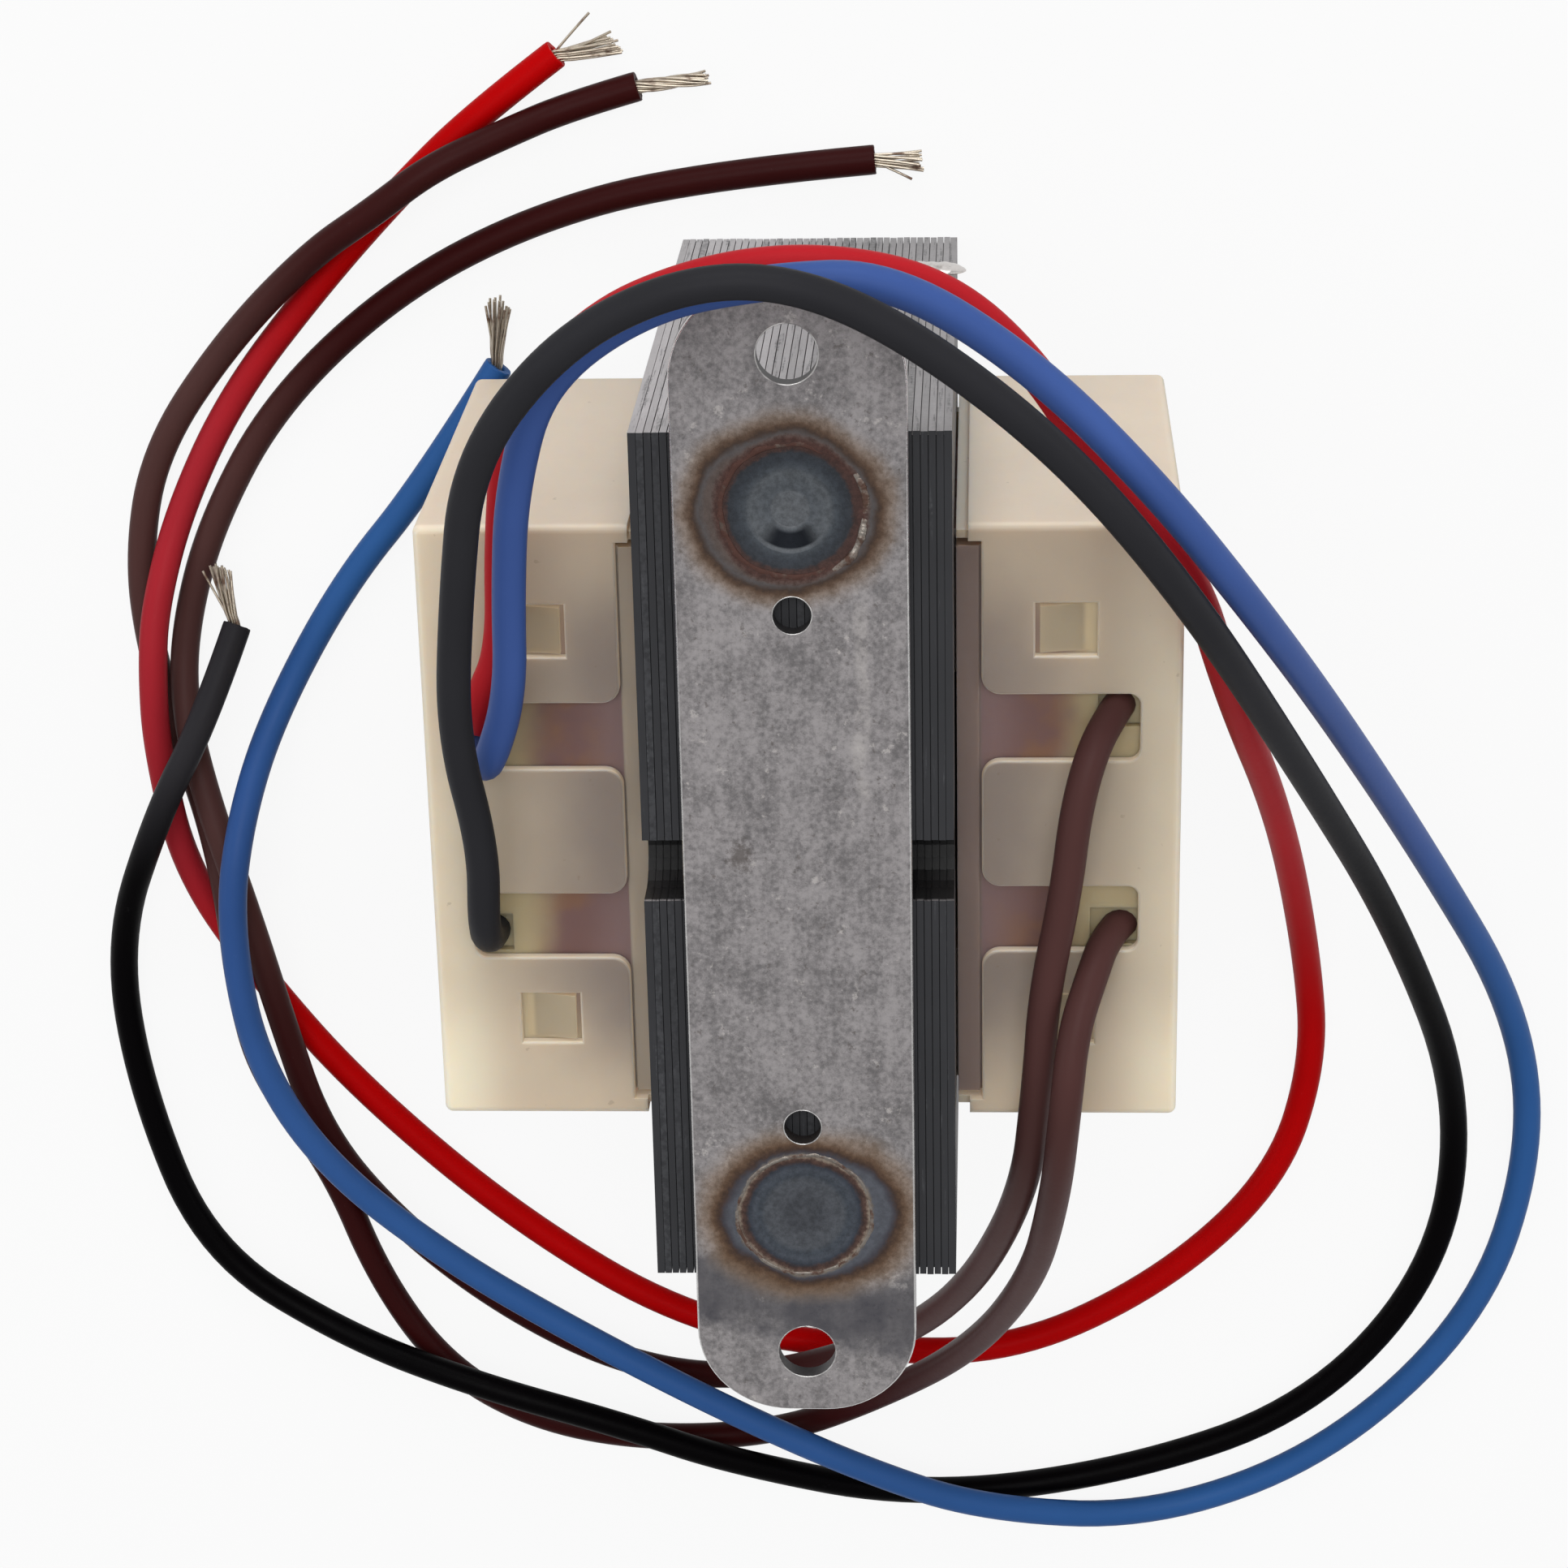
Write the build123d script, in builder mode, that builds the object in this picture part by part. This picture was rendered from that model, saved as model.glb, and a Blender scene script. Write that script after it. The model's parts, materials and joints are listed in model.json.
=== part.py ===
from build123d import *
import math
import os

# Foot-mounted power transformer with five flying leads, in millimetres.
# It lies on the plain side of its core. The origin is the centre of that face, +Z is the normal of
# the foot plate on top, Y runs along the plate and X is the stacking direction of the sheets.

# Lamination stack
centre_leg = 25.4
outer_leg = 12.7
window_width = 12.7
window_height = 38.1
yoke = 12.7
sheet_count = 41
sheet_thickness = 0.634
sheet_gap_width = 0.12
sheet_gap_depth = 0.18
notch_width = 5.5
notch_depth = 5.6

# Weld beads along the seam between the E and the I stack
bead_width = 3.2
bead_height = 0.8
bead_overrun = 0.5

# Foot plate
plate_width = 19.05
plate_length = 101.6
plate_thickness = 1.6
plate_corner_radius = 7.94
plate_edge_radius = 0.3
mount_hole_radius = 2.5
mount_hole_inset = 5.85
pilot_hole_radius = 1.6
pilot_hole_inset = 27.7
weld_mark_pitch = 63.45
weld_mark_shift = 0.25
weld_ring_radius = 6.1
weld_ring_depth = 0.12
weld_dimple_radius = 3.6
weld_dimple_floor = 1.5
deep_dimple_depth = 0.65
shallow_dimple_depth = 0.25

# Bobbin
core_clearance = 0.2
bobbin_wall = 1.2
bobbin_corner_radius = 1.2
flange_thickness = 1.6
flange_step = 2.6
flange_overhang = 16.5
rim_height = 0.4
rim_clearance = 0.2
lead_notch_clearance = 0.3
lead_notch_lean = 0.45
wedge_height = 0.95
wedge_side_clearance = 0.3
wedge_end_clearance = 0.4

# Windings, counted outwards from the bobbin tube
coil_clearance = 0.1
layer_gap = 0.05
primary_build = 4.4
inner_tape_build = 0.3
secondary_build = 3.4
outer_tape_build = 0.4
coil_end_clearance = 0.2

# Clip-on covers
cover_reach = 19.25
cover_wall = 1.5
comb_wall = 0.9
cover_clearance = 0.15
cover_end_clearance = 0.6
cover_edge_radius = 0.7
lip_setback = 1.2
tongue_thickness = 0.7
tongue_clearance = 0.2
tab_setback = 2.3
tab_corner_radius = 1.6
tab_edge_radius = 0.25
slot_width = 6.0
slot_offset = 8.8
slot_shift = 0.35
slot_end_wall = 3.55
slot_corner_radius = 1.0
latch_length = 5.2
latch_width = 4.7
latch_from_core = 9.4
latch_offset = 17.95

# Leads
lead_radius = 1.4
strand_radius = 0.2
strand_ring = 6
strand_spread = 0.6
strand_root_ring = 0.5
splice_radius = 1.45
splice_length = 9.0
splice_clearance = 0.15
lead_root_run = 6.0
lead_exit_clearance = 0.1
corner_share = 0.45
joint_gap = 0.05
# Side of the core, end of the cover, and how far from the middle of its slot each lead comes out
lead_seats = {
    "black": (-1, -1, -1.0),
    "blue": (-1, 1, -1.55),
    "red": (-1, 1, 1.45),
    "brown_upper": (1, 1, 1.45),
    "brown_lower": (1, -1, -1.1),
}
# How far each lead bows out towards the end wall of its slot before it comes through
lead_bows = {"black": 0, "blue": 0, "red": 0, "brown_upper": 0.8, "brown_lower": 2.0}

# Sizes that follow from the values above
stack = sheet_count * sheet_thickness
core_side = stack / 2
core_length = centre_leg + 2 * window_width + 2 * outer_leg
core_height = window_height + 2 * yoke
window_mid_z = yoke + window_height / 2
window_mid_y = centre_leg / 2 + window_width / 2
window_edge_y = centre_leg / 2 + window_width
plate_top = core_height + plate_thickness
mount_hole_pitch = plate_length - 2 * mount_hole_inset
pilot_hole_pitch = plate_length - 2 * pilot_hole_inset

bore_x = core_side + core_clearance
bore_y = centre_leg / 2 + core_clearance
tube_x = bore_x + bobbin_wall
tube_y = bore_y + bobbin_wall
flange_y = window_edge_y - core_clearance
flange_x = core_side + flange_overhang
flange_top = window_mid_z + window_height / 2 - core_clearance
flange_under = flange_top - flange_thickness
overhang_top = flange_top + flange_step
overhang_under = overhang_top - flange_thickness

cover_x = core_side + cover_reach
cover_inner_y = flange_y + cover_end_clearance
cover_y = cover_inner_y + cover_wall
cover_inner_top = overhang_top + cover_clearance
cover_top = cover_inner_top + comb_wall
cover_half_height = cover_top - window_mid_z
cover_inner_half_height = cover_inner_top - window_mid_z
lip_x = core_side + lip_setback
tongue_x = core_side + tongue_clearance
tongue_y = cover_inner_y + tongue_thickness / 2
tab_x = core_side + tab_setback
rim_x = tab_x - rim_clearance
slot_end_x = cover_x - slot_end_wall
latch_x = core_side + latch_from_core

coil_x = tube_x + coil_clearance
coil_y = tube_y + coil_clearance
coil_corner = bobbin_corner_radius + coil_clearance
coil_height = 2 * (flange_under - window_mid_z - coil_end_clearance)
inner_tape_start = primary_build + layer_gap
secondary_start = inner_tape_start + inner_tape_build + layer_gap
outer_tape_start = secondary_start + secondary_build + layer_gap
coil_outer_x = coil_x + outer_tape_start + outer_tape_build

lead_exit_x = slot_end_x - lead_radius - lead_exit_clearance
lead_root_x = coil_outer_x + splice_clearance + splice_radius
lead_notch_z = overhang_under - lead_root_run / 2

os.makedirs("parts", exist_ok=True)


def lead_seat_y(name):
    """Where a lead comes through its slot; the covers are alike, so the left one's slots shift the other way."""
    side, end, offset = lead_seats[name]
    return end * slot_offset + side * slot_shift + offset


def save(builder, name):
    """Label a finished piece and write it."""
    builder.part.label = name
    export_step(builder.part, f"parts/{name}.step")


# Core: each gap between two sheets is a shallow groove round the faces that show

with BuildPart() as e_sheet_gap:
    with BuildSketch(Plane.YZ):
        with Locations((0, yoke)):
            Rectangle(core_length, core_height - yoke, align=(Align.CENTER, Align.MIN))
            Rectangle(
                core_length - 2 * sheet_gap_depth,
                core_height - yoke - sheet_gap_depth,
                align=(Align.CENTER, Align.MIN),
                mode=Mode.SUBTRACT,
            )
    extrude(amount=sheet_gap_width / 2, both=True)

with BuildPart() as e_laminations:
    with BuildSketch(Plane.YZ):
        with Locations((0, yoke)):
            Rectangle(core_length, core_height - yoke, align=(Align.CENTER, Align.MIN))
        with Locations((-window_mid_y, yoke), (window_mid_y, yoke)):
            Rectangle(window_width, window_height, align=(Align.CENTER, Align.MIN), mode=Mode.SUBTRACT)
        with Locations((0, core_height)):
            Rectangle(
                notch_width,
                notch_depth - notch_width / 2,
                align=(Align.CENTER, Align.MAX),
                mode=Mode.SUBTRACT,
            )
        with Locations((0, core_height - notch_depth + notch_width / 2)):
            Circle(notch_width / 2, mode=Mode.SUBTRACT)
    extrude(amount=core_side, both=True)
    with GridLocations(sheet_thickness, 0, sheet_count - 1, 1):
        add(e_sheet_gap.part, mode=Mode.SUBTRACT)

with BuildPart() as i_sheet_gap:
    with BuildSketch(Plane.YZ):
        Rectangle(core_length, yoke, align=(Align.CENTER, Align.MIN))
        Rectangle(
            core_length - 2 * sheet_gap_depth,
            yoke,
            align=(Align.CENTER, Align.MIN),
            mode=Mode.SUBTRACT,
        )
    extrude(amount=sheet_gap_width / 2, both=True)

with BuildPart() as i_laminations:
    with BuildSketch(Plane.YZ):
        Rectangle(core_length, yoke, align=(Align.CENTER, Align.MIN))
    extrude(amount=core_side, both=True)
    with GridLocations(sheet_thickness, 0, sheet_count - 1, 1):
        add(i_sheet_gap.part, mode=Mode.SUBTRACT)

with BuildPart() as core_seam_welds:
    with BuildSketch(Plane.YZ):
        with BuildLine():
            seam = (core_length / 2, yoke - bead_width / 2)
            seam_end = (core_length / 2, yoke + bead_width / 2)
            ThreePointArc(seam, (core_length / 2 + bead_height, yoke), seam_end)
            Line(seam_end, seam)
        make_face()
    extrude(amount=core_side + bead_overrun, both=True)
    mirror(about=Plane.XZ)

save(e_laminations, "e_laminations")
save(i_laminations, "i_laminations")
save(core_seam_welds, "core_seam_welds")


# Foot plate, resistance-welded to the back of the E stack


def weld_mark(y, depth):
    """Cutter for an electrode mark: a dished ring with a dimple in its middle."""
    with BuildPart() as mark:
        with BuildSketch(Plane.XZ.offset(-y)):
            with BuildLine():
                Polyline(
                    (0, plate_top),
                    (weld_ring_radius, plate_top),
                    (weld_dimple_radius, plate_top - weld_ring_depth),
                    (weld_dimple_floor, plate_top - depth),
                    (0, plate_top - depth),
                    close=True,
                )
            make_face()
        revolve(axis=Axis((0, y, 0), (0, 0, 1)))
    return mark.part


deep_weld_mark = weld_mark(weld_mark_shift + weld_mark_pitch / 2, deep_dimple_depth)
shallow_weld_mark = weld_mark(weld_mark_shift - weld_mark_pitch / 2, shallow_dimple_depth)

with BuildPart() as mounting_plate:
    with BuildSketch(Plane.XY.offset(core_height)):
        RectangleRounded(plate_width, plate_length, plate_corner_radius)
    extrude(amount=plate_thickness)
    fillet(mounting_plate.faces().sort_by(Axis.Z)[-1].edges(), plate_edge_radius)
    with Locations((0, 0, plate_top)):
        with GridLocations(0, mount_hole_pitch, 1, 2):
            Hole(mount_hole_radius)
        with GridLocations(0, pilot_hole_pitch, 1, 2):
            Hole(pilot_hole_radius)
    add(deep_weld_mark, mode=Mode.SUBTRACT)
    add(shallow_weld_mark, mode=Mode.SUBTRACT)

save(mounting_plate, "mounting_plate")


# Bobbin: the upper half is drawn and mirrored about the middle of the window, then the upper flange
# gets the notches for the leads

with BuildPart() as bobbin:
    with BuildSketch(Plane.XY.offset(window_mid_z)):
        RectangleRounded(2 * tube_x, 2 * tube_y, bobbin_corner_radius)
        Rectangle(2 * bore_x, 2 * bore_y, mode=Mode.SUBTRACT)
    extrude(amount=flange_top - window_mid_z)
    with BuildSketch(Plane.XY.offset(flange_under)):
        Rectangle(2 * tube_x, 2 * flange_y)
        Rectangle(2 * bore_x, 2 * bore_y, mode=Mode.SUBTRACT)
    extrude(amount=flange_thickness)
    with BuildSketch(Plane.XY.offset(flange_under)):
        Rectangle(2 * tube_x, 2 * flange_y)
        Rectangle(2 * bore_x, 2 * flange_y, mode=Mode.SUBTRACT)
    extrude(amount=overhang_top - flange_under)
    with BuildSketch(Plane.XY.offset(overhang_under)):
        Rectangle(2 * flange_x, 2 * flange_y)
        Rectangle(2 * bore_x, 2 * flange_y, mode=Mode.SUBTRACT)
    extrude(amount=flange_thickness)
    with BuildSketch(Plane.XY.offset(overhang_top)):
        Rectangle(2 * rim_x, 2 * flange_y)
        Rectangle(2 * bore_x, 2 * flange_y, mode=Mode.SUBTRACT)
    extrude(amount=rim_height)
    wedge_width = latch_width - 2 * wedge_side_clearance
    for wedge_side in (-1, 1):
        catch_x = wedge_side * (latch_x - latch_length / 2 + wedge_end_clearance)
        ramp_x = wedge_side * (latch_x + latch_length / 2 - wedge_end_clearance)
        for wedge_y in (-latch_offset, latch_offset):
            with BuildSketch(Plane.XZ.offset(-wedge_y)):
                with BuildLine():
                    Polyline(
                        (catch_x, overhang_top),
                        (ramp_x, overhang_top),
                        (catch_x, overhang_top + wedge_height),
                        close=True,
                    )
                make_face()
            extrude(amount=wedge_width / 2, both=True)
    mirror(about=Plane.XY.offset(window_mid_z))
    with BuildSketch(Plane.XY.offset(overhang_under)):
        for lead_name, (lead_side, _, _) in lead_seats.items():
            notch_half = lead_radius + lead_notch_clearance
            notch_end_x = lead_exit_x - notch_half - lead_notch_lean * lead_bows[lead_name]
            with Locations((lead_side * flange_x, lead_seat_y(lead_name))):
                Rectangle(2 * (flange_x - notch_end_x), 2 * notch_half)
    extrude(amount=flange_thickness, mode=Mode.SUBTRACT)

save(bobbin, "bobbin")


# Coil: each winding or wrap is one rounded ring round the bobbin tube


def wound_layer(start, build):
    """One layer of the coil, from start to start + build outside the bobbin tube."""
    end = start + build
    with BuildPart() as layer:
        with BuildSketch(Plane.XY.offset(window_mid_z)):
            RectangleRounded(2 * (coil_x + end), 2 * (coil_y + end), coil_corner + end)
            RectangleRounded(
                2 * (coil_x + start),
                2 * (coil_y + start),
                coil_corner + start,
                mode=Mode.SUBTRACT,
            )
        extrude(amount=coil_height / 2, both=True)
    return layer


save(wound_layer(0, primary_build), "primary_winding")
save(wound_layer(inner_tape_start, inner_tape_build), "interwinding_tape")
save(wound_layer(secondary_start, secondary_build), "secondary_winding")
save(wound_layer(outer_tape_start, outer_tape_build), "outer_tape")


# Covers: a shell open towards the core, with comb walls that clip over the bobbin's wedges

with BuildPart() as right_cover:
    with BuildSketch(Plane.YZ.offset(lip_x)):
        with Locations((0, window_mid_z)):
            Rectangle(2 * cover_y, 2 * cover_half_height)
    extrude(amount=cover_x - lip_x)
    outer_edges = right_cover.faces().sort_by(Axis.X)[-1].edges() + right_cover.edges().filter_by(Axis.X)
    fillet(outer_edges, cover_edge_radius)
    with BuildSketch(Plane.YZ.offset(lip_x)):
        with Locations((0, window_mid_z)):
            Rectangle(2 * cover_inner_y, 2 * cover_inner_half_height)
    extrude(amount=cover_x - cover_wall - lip_x, mode=Mode.SUBTRACT)
    with BuildSketch(Plane.XY.offset(window_mid_z)):
        with Locations((lip_x, 0)):
            Rectangle(tab_setback - lip_setback, 2 * cover_inner_y, align=(Align.MIN, Align.CENTER))
    extrude(amount=cover_half_height, both=True, mode=Mode.SUBTRACT)
    with BuildSketch(Plane.XY.offset(window_mid_z)) as comb_slots:
        with Locations((tab_x, slot_shift - slot_offset), (tab_x, slot_shift + slot_offset)):
            Rectangle(slot_end_x - tab_x, slot_width, align=(Align.MIN, Align.CENTER))
        fillet(comb_slots.vertices().group_by(Axis.X)[-1], slot_corner_radius)
        with Locations((latch_x, -latch_offset), (latch_x, latch_offset)):
            Rectangle(latch_length, latch_width)
    extrude(amount=cover_half_height, both=True, mode=Mode.SUBTRACT)
    mouth_edges = right_cover.edges().filter_by(Axis.Z)
    mouth_edges = mouth_edges.filter_by_position(Axis.X, tab_x - joint_gap, tab_x + joint_gap)
    mouth_edges = mouth_edges.filter_by_position(Axis.Y, -cover_inner_y + 1, cover_inner_y - 1)
    fillet(mouth_edges, tab_corner_radius)
    comb_faces = right_cover.faces().filter_by(Axis.Z)
    comb_faces = [comb_faces.sort_by(Axis.Z)[0], comb_faces.sort_by(Axis.Z)[-1]]
    tab_edges = ShapeList([edge for face in comb_faces for edge in face.edges()])
    tab_edges = tab_edges.filter_by_position(Axis.X, tab_x - joint_gap, slot_end_x + joint_gap)
    tab_edges = tab_edges.filter_by_position(Axis.Y, -cover_inner_y + joint_gap, cover_inner_y - joint_gap)
    fillet(tab_edges, tab_edge_radius)
    with BuildSketch(Plane.YZ.offset(tongue_x)):
        with Locations((-tongue_y, window_mid_z), (tongue_y, window_mid_z)):
            Rectangle(tongue_thickness, 2 * cover_inner_half_height)
    extrude(amount=lip_x - tongue_x)

with BuildPart() as left_cover:
    add(right_cover.part, rotation=(0, 0, 180))

save(right_cover, "right_cover")
save(left_cover, "left_cover")


# Leads. Each one starts at its taped splice on the coil, rises through a notch in the bobbin flange and
# a slot of the cover, and then follows its own free route over the plate's end and along the table.

free_routes = {
    "black": [
        (-27.2, -10.15, 55), (-27.3, -7.4, 59), (-26.5, 1.5, 62), (-28, 13.5, 66.4), (-26.5, 26.5, 70.5),
        (-24.5, 39, 74), (-17, 49, 77), (-8, 54, 78.4), (0.5, 54.5, 78.4), (9.5, 50, 76.5),
        (21.3, 39.8, 73.5), (31.4, 26, 67.5), (42.2, 4.3, 49), (54.5, -23.5, 21), (64, -51, 2.5),
        (62.5, -71.5, 1.4), (49.6, -88.3, 1.5), (29.6, -96.3, 1.4), (8, -99.5, 1.4), (-11.4, -92.7, 5.6),
        (-23, -87.5, 6.8), (-37.5, -83, 6.8), (-51.9, -79.7, 2.4), (-66.5, -70, 1.4), (-72, -51, 1.5),
        (-73, -34, 2), (-66, -17, 8.8), (-60.5, -7, 9.2), (-57.6, 0.9, 5.2),
    ],
    "blue": [
        (-27.2, 6.9, 56.4), (-25.9, 8.2, 60.2), (-23.5, 15.5, 62.6), (-23, 25, 65), (-22, 34.5, 67.6),
        (-19, 44.5, 70.6), (-10.5, 51, 72.6), (-1, 53, 73.2), (8.5, 53, 72), (19.5, 45, 69.4),
        (29.2, 34.7, 68.6), (37.5, 22, 60.5), (45.5, 7, 45), (56.7, -16.2, 20), (68.7, -40.1, 4.2),
        (71.6, -57.5, 1.4), (67, -76.5, 1.5), (52.2, -93.4, 1.4), (33.5, -101.5, 1.8), (15, -97.5, 6.8),
        (2.5, -92, 8), (-11.1, -85.3, 7.8), (-26.7, -76.8, 6.8), (-40.5, -67.5, 7), (-52, -55.5, 9.4),
        (-58, -42.5, 11), (-59, -27, 12.8), (-57.5, -17, 10.6), (-55, -9, 3.4), (-47.4, 4.2, 1.4),
        (-38.8, 14.4, 1.5), (-31.2, 25.9, 1.4),
    ],
    "red": [
        (-27.2, 9.9, 55.6), (-26.8, 13, 58), (-24.5, 18, 58.8), (-24, 28, 60.4), (-22.5, 38.5, 63.2),
        (-16, 48, 66.6), (-6.5, 52.5, 68.4), (3, 53.5, 68.4), (12.5, 51, 66.8), (19.5, 44, 64.8),
        (25.5, 33.5, 63), (32.5, 25.5, 61.4), (36.5, 10, 48.5), (43, -11, 25), (47.5, -33.5, 6),
        (49, -47.5, 1.5), (45.5, -61, 1.4), (34, -73, 1.5), (18.5, -81.5, 1.4), (2.5, -81.5, 1.5),
        (-16, -78, 1.4), (-33.5, -66, 1.5), (-49, -51, 1.4), (-59, -37.5, 1.5), (-65.5, -26, 1.4),
        (-66.5, -12, 4.8), (-66, -3.5, 6.4), (-65.5, 3, 5), (-63, 12, 1.6), (-57, 23.5, 1.4),
        (-47.5, 35, 1.5), (-39, 44, 1.4), (-32, 50.5, 1.5), (-24.5, 56, 1.4),
    ],
    "brown_upper": [
        (26.3, 10.6, 54.6), (24.6, 8.6, 57.8), (23.2, 3.5, 58.8), (22.4, -4, 58.8), (20.6, -13.5, 58.8),
        (20.1, -22, 58.6), (19, -36.5, 52.4), (12.8, -59.9, 30), (1.5, -77, 10.5), (-11.5, -84.5, 2.6),
        (-23.5, -83, 1.4), (-35.5, -76, 1.5), (-46, -66.5, 1.6), (-53, -54.5, 4.4), (-56, -39.5, 6.4),
        (-58, -28.5, 8), (-61.6, -17.1, 6), (-63.8, -8, 3.4), (-63.4, 0, 1.4), (-60, 10.5, 1.5),
        (-53, 22.5, 1.4), (-41, 33.5, 1.5), (-27.5, 40.5, 1.4), (-12, 44.5, 1.5), (5, 45.9, 1.4),
    ],
    "brown_lower": [
        (26, -9.8, 54.6), (24.6, -12.2, 58.4), (23.1, -16.2, 60.6), (22.4, -23, 62),
        (21.7, -34.5, 56), (19.9, -50.2, 42.5), (14.2, -69.7, 21.5), (4.7, -83.4, 7.4), (-6.5, -91.5, 1.6),
        (-20.5, -92.5, 1.4), (-32.5, -90, 1.5), (-41.9, -83.9, 1.4), (-48.3, -73.2, 1.5), (-52.5, -60, 1.4),
        (-59, -49, 2.4), (-60, -37.5, 5.6), (-60.5, -29, 4.6), (-62.5, -20.5, 1.4), (-65, -11, 1.5),
        (-67, -3, 1.4), (-67.5, 7, 1.5), (-65, 18, 1.4), (-57, 29, 1.6), (-48, 38, 4.4),
        (-41.5, 42.5, 6.2), (-36, 46.5, 6), (-29.4, 49.1, 3.9), (-23.4, 51.2, 1.5), (-17, 53, 1.5),
    ],
}
strand_lengths = {"black": 6.4, "blue": 7.0, "red": 6.2, "brown_upper": 5.0, "brown_lower": 7.0}


def lead_root(name):
    """The first three points of a lead, from its splice to the notch in the bobbin flange."""
    side = lead_seats[name][0]
    y = lead_seat_y(name)
    return [
        Vector(side * lead_root_x, y, lead_notch_z - 2 * lead_root_run),
        Vector(side * lead_root_x, y, lead_notch_z - lead_root_run),
        Vector(side * (lead_exit_x + lead_bows[name]), y, lead_notch_z),
    ]


def corner_radii(points):
    """The arc at each inner point of a route, as large as its two runs allow."""
    radii = []
    for before, here, after in zip(points, points[1:], points[2:]):
        turn = math.radians((here - before).get_angle(after - here))
        shorter_run = min((here - before).length, (after - here).length)
        radii.append(corner_share * shorter_run / math.tan(turn / 2))
    return radii


for lead_name, free_route in free_routes.items():
    points = lead_root(lead_name) + [Vector(*point) for point in free_route]
    radii = corner_radii(points)

    with BuildPart() as lead:
        with BuildLine():
            route = FilletPolyline(*points, radius=radii)
        with BuildSketch(Plane(origin=route @ 0, z_dir=route % 0)):
            Circle(lead_radius)
        sweep(path=route)
    save(lead, f"lead_{lead_name}")

    fullness = lead.part.volume / (math.pi * lead_radius**2 * route.length)
    print(f"lead_{lead_name}: {route.length:.1f} mm, volume / (section x length) {fullness:.4f}")
    print("  radii:", " ".join(f"{radius:.1f}" for radius in radii))

    with BuildPart(Plane(origin=points[0], z_dir=(0, 0, -1))) as splice:
        Cylinder(splice_radius, splice_length, align=(Align.CENTER, Align.CENTER, Align.MIN))
    save(splice, f"splice_{lead_name}")

    free_end = Plane(origin=route @ 1, z_dir=route % 1)
    with BuildPart() as strands:
        for strand in range(strand_ring + 1):
            angle = math.radians(360 * strand / strand_ring)
            ring = strand_root_ring if strand < strand_ring else 0
            lean = strand_spread if strand < strand_ring else 0
            across = Vector(math.cos(angle), math.sin(angle), 0)
            start = free_end.from_local_coords(across * ring + Vector(0, 0, joint_gap))
            tip = free_end.from_local_coords(across * (ring + lean) + Vector(0, 0, strand_lengths[lead_name]))
            with Locations(Plane(origin=start, z_dir=tip - start)):
                Cylinder(strand_radius, (tip - start).length, align=(Align.CENTER, Align.CENTER, Align.MIN))
    save(strands, f"strands_{lead_name}")
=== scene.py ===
"""Dressed model of a foot-mounted power transformer with five flying leads.

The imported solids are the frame. The covers, the bobbin, the coil and the foot plate keep their solids and
get procedural finishes. The sheet stacks, the weld metal, the worn edges of the holes, the bobbin's webs
round the leads, the leads and their stripped ends are built here. The scene is in metres, in the frame of
the solids. Sizes in the dataclasses are in millimetres, apart from the lead lengths and the studio, which
are in metres.
"""

import json
import logging
import math
import random
from collections.abc import Callable
from dataclasses import dataclass, field
from enum import Enum
from typing import TypeAlias

import bmesh
import bpy
from mathutils import Matrix, Vector, noise

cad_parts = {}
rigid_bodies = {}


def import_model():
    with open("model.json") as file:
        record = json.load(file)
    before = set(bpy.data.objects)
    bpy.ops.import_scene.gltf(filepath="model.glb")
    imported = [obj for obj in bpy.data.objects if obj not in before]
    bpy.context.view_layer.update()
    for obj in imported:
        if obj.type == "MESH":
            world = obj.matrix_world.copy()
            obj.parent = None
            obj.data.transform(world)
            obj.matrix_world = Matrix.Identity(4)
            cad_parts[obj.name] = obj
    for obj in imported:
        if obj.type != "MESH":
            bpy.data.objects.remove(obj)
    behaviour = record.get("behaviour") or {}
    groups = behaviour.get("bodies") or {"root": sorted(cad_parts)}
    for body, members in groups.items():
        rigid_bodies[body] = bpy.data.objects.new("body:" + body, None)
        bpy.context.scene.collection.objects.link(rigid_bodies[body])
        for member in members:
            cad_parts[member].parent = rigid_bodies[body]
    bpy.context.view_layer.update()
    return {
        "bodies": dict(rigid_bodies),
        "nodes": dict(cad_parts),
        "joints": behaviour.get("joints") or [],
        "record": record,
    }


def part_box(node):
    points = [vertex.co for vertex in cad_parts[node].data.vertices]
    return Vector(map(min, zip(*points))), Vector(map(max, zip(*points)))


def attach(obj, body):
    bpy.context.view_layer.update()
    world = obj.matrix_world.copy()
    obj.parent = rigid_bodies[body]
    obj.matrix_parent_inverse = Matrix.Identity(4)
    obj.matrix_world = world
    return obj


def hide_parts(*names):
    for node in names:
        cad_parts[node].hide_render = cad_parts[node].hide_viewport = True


LOG = logging.getLogger("transformer")

MM = 0.001
BODY = "root"

Material: TypeAlias = bpy.types.Material
Mesh: TypeAlias = bpy.types.Mesh
Curve: TypeAlias = bpy.types.Curve
Colour: TypeAlias = tuple[float, float, float]
Point: TypeAlias = tuple[float, float, float]
Span: TypeAlias = tuple[float, float]
Stops: TypeAlias = tuple[tuple[float, Colour], ...]
Nodes: TypeAlias = dict[str, bpy.types.Object]
Operand: TypeAlias = "Value | float"
Paint: TypeAlias = "Value | Colour"


def shader_operator(operation: str, reflected: bool = False) -> Callable[..., "Value"]:
    """An operator of shader values.

    Args:
        operation: What its Math node does.
        reflected: Whether the other value comes first.

    Returns:
        The method.
    """

    def method(self: "Value", other: Operand = 0.0) -> "Value":
        """Add one Math node to the graph."""
        first, second = (other, self) if reflected else (self, other)
        return self.graph.node("ShaderNodeMath", {"operation": operation}, {0: first, 1: second})

    return method


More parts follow.
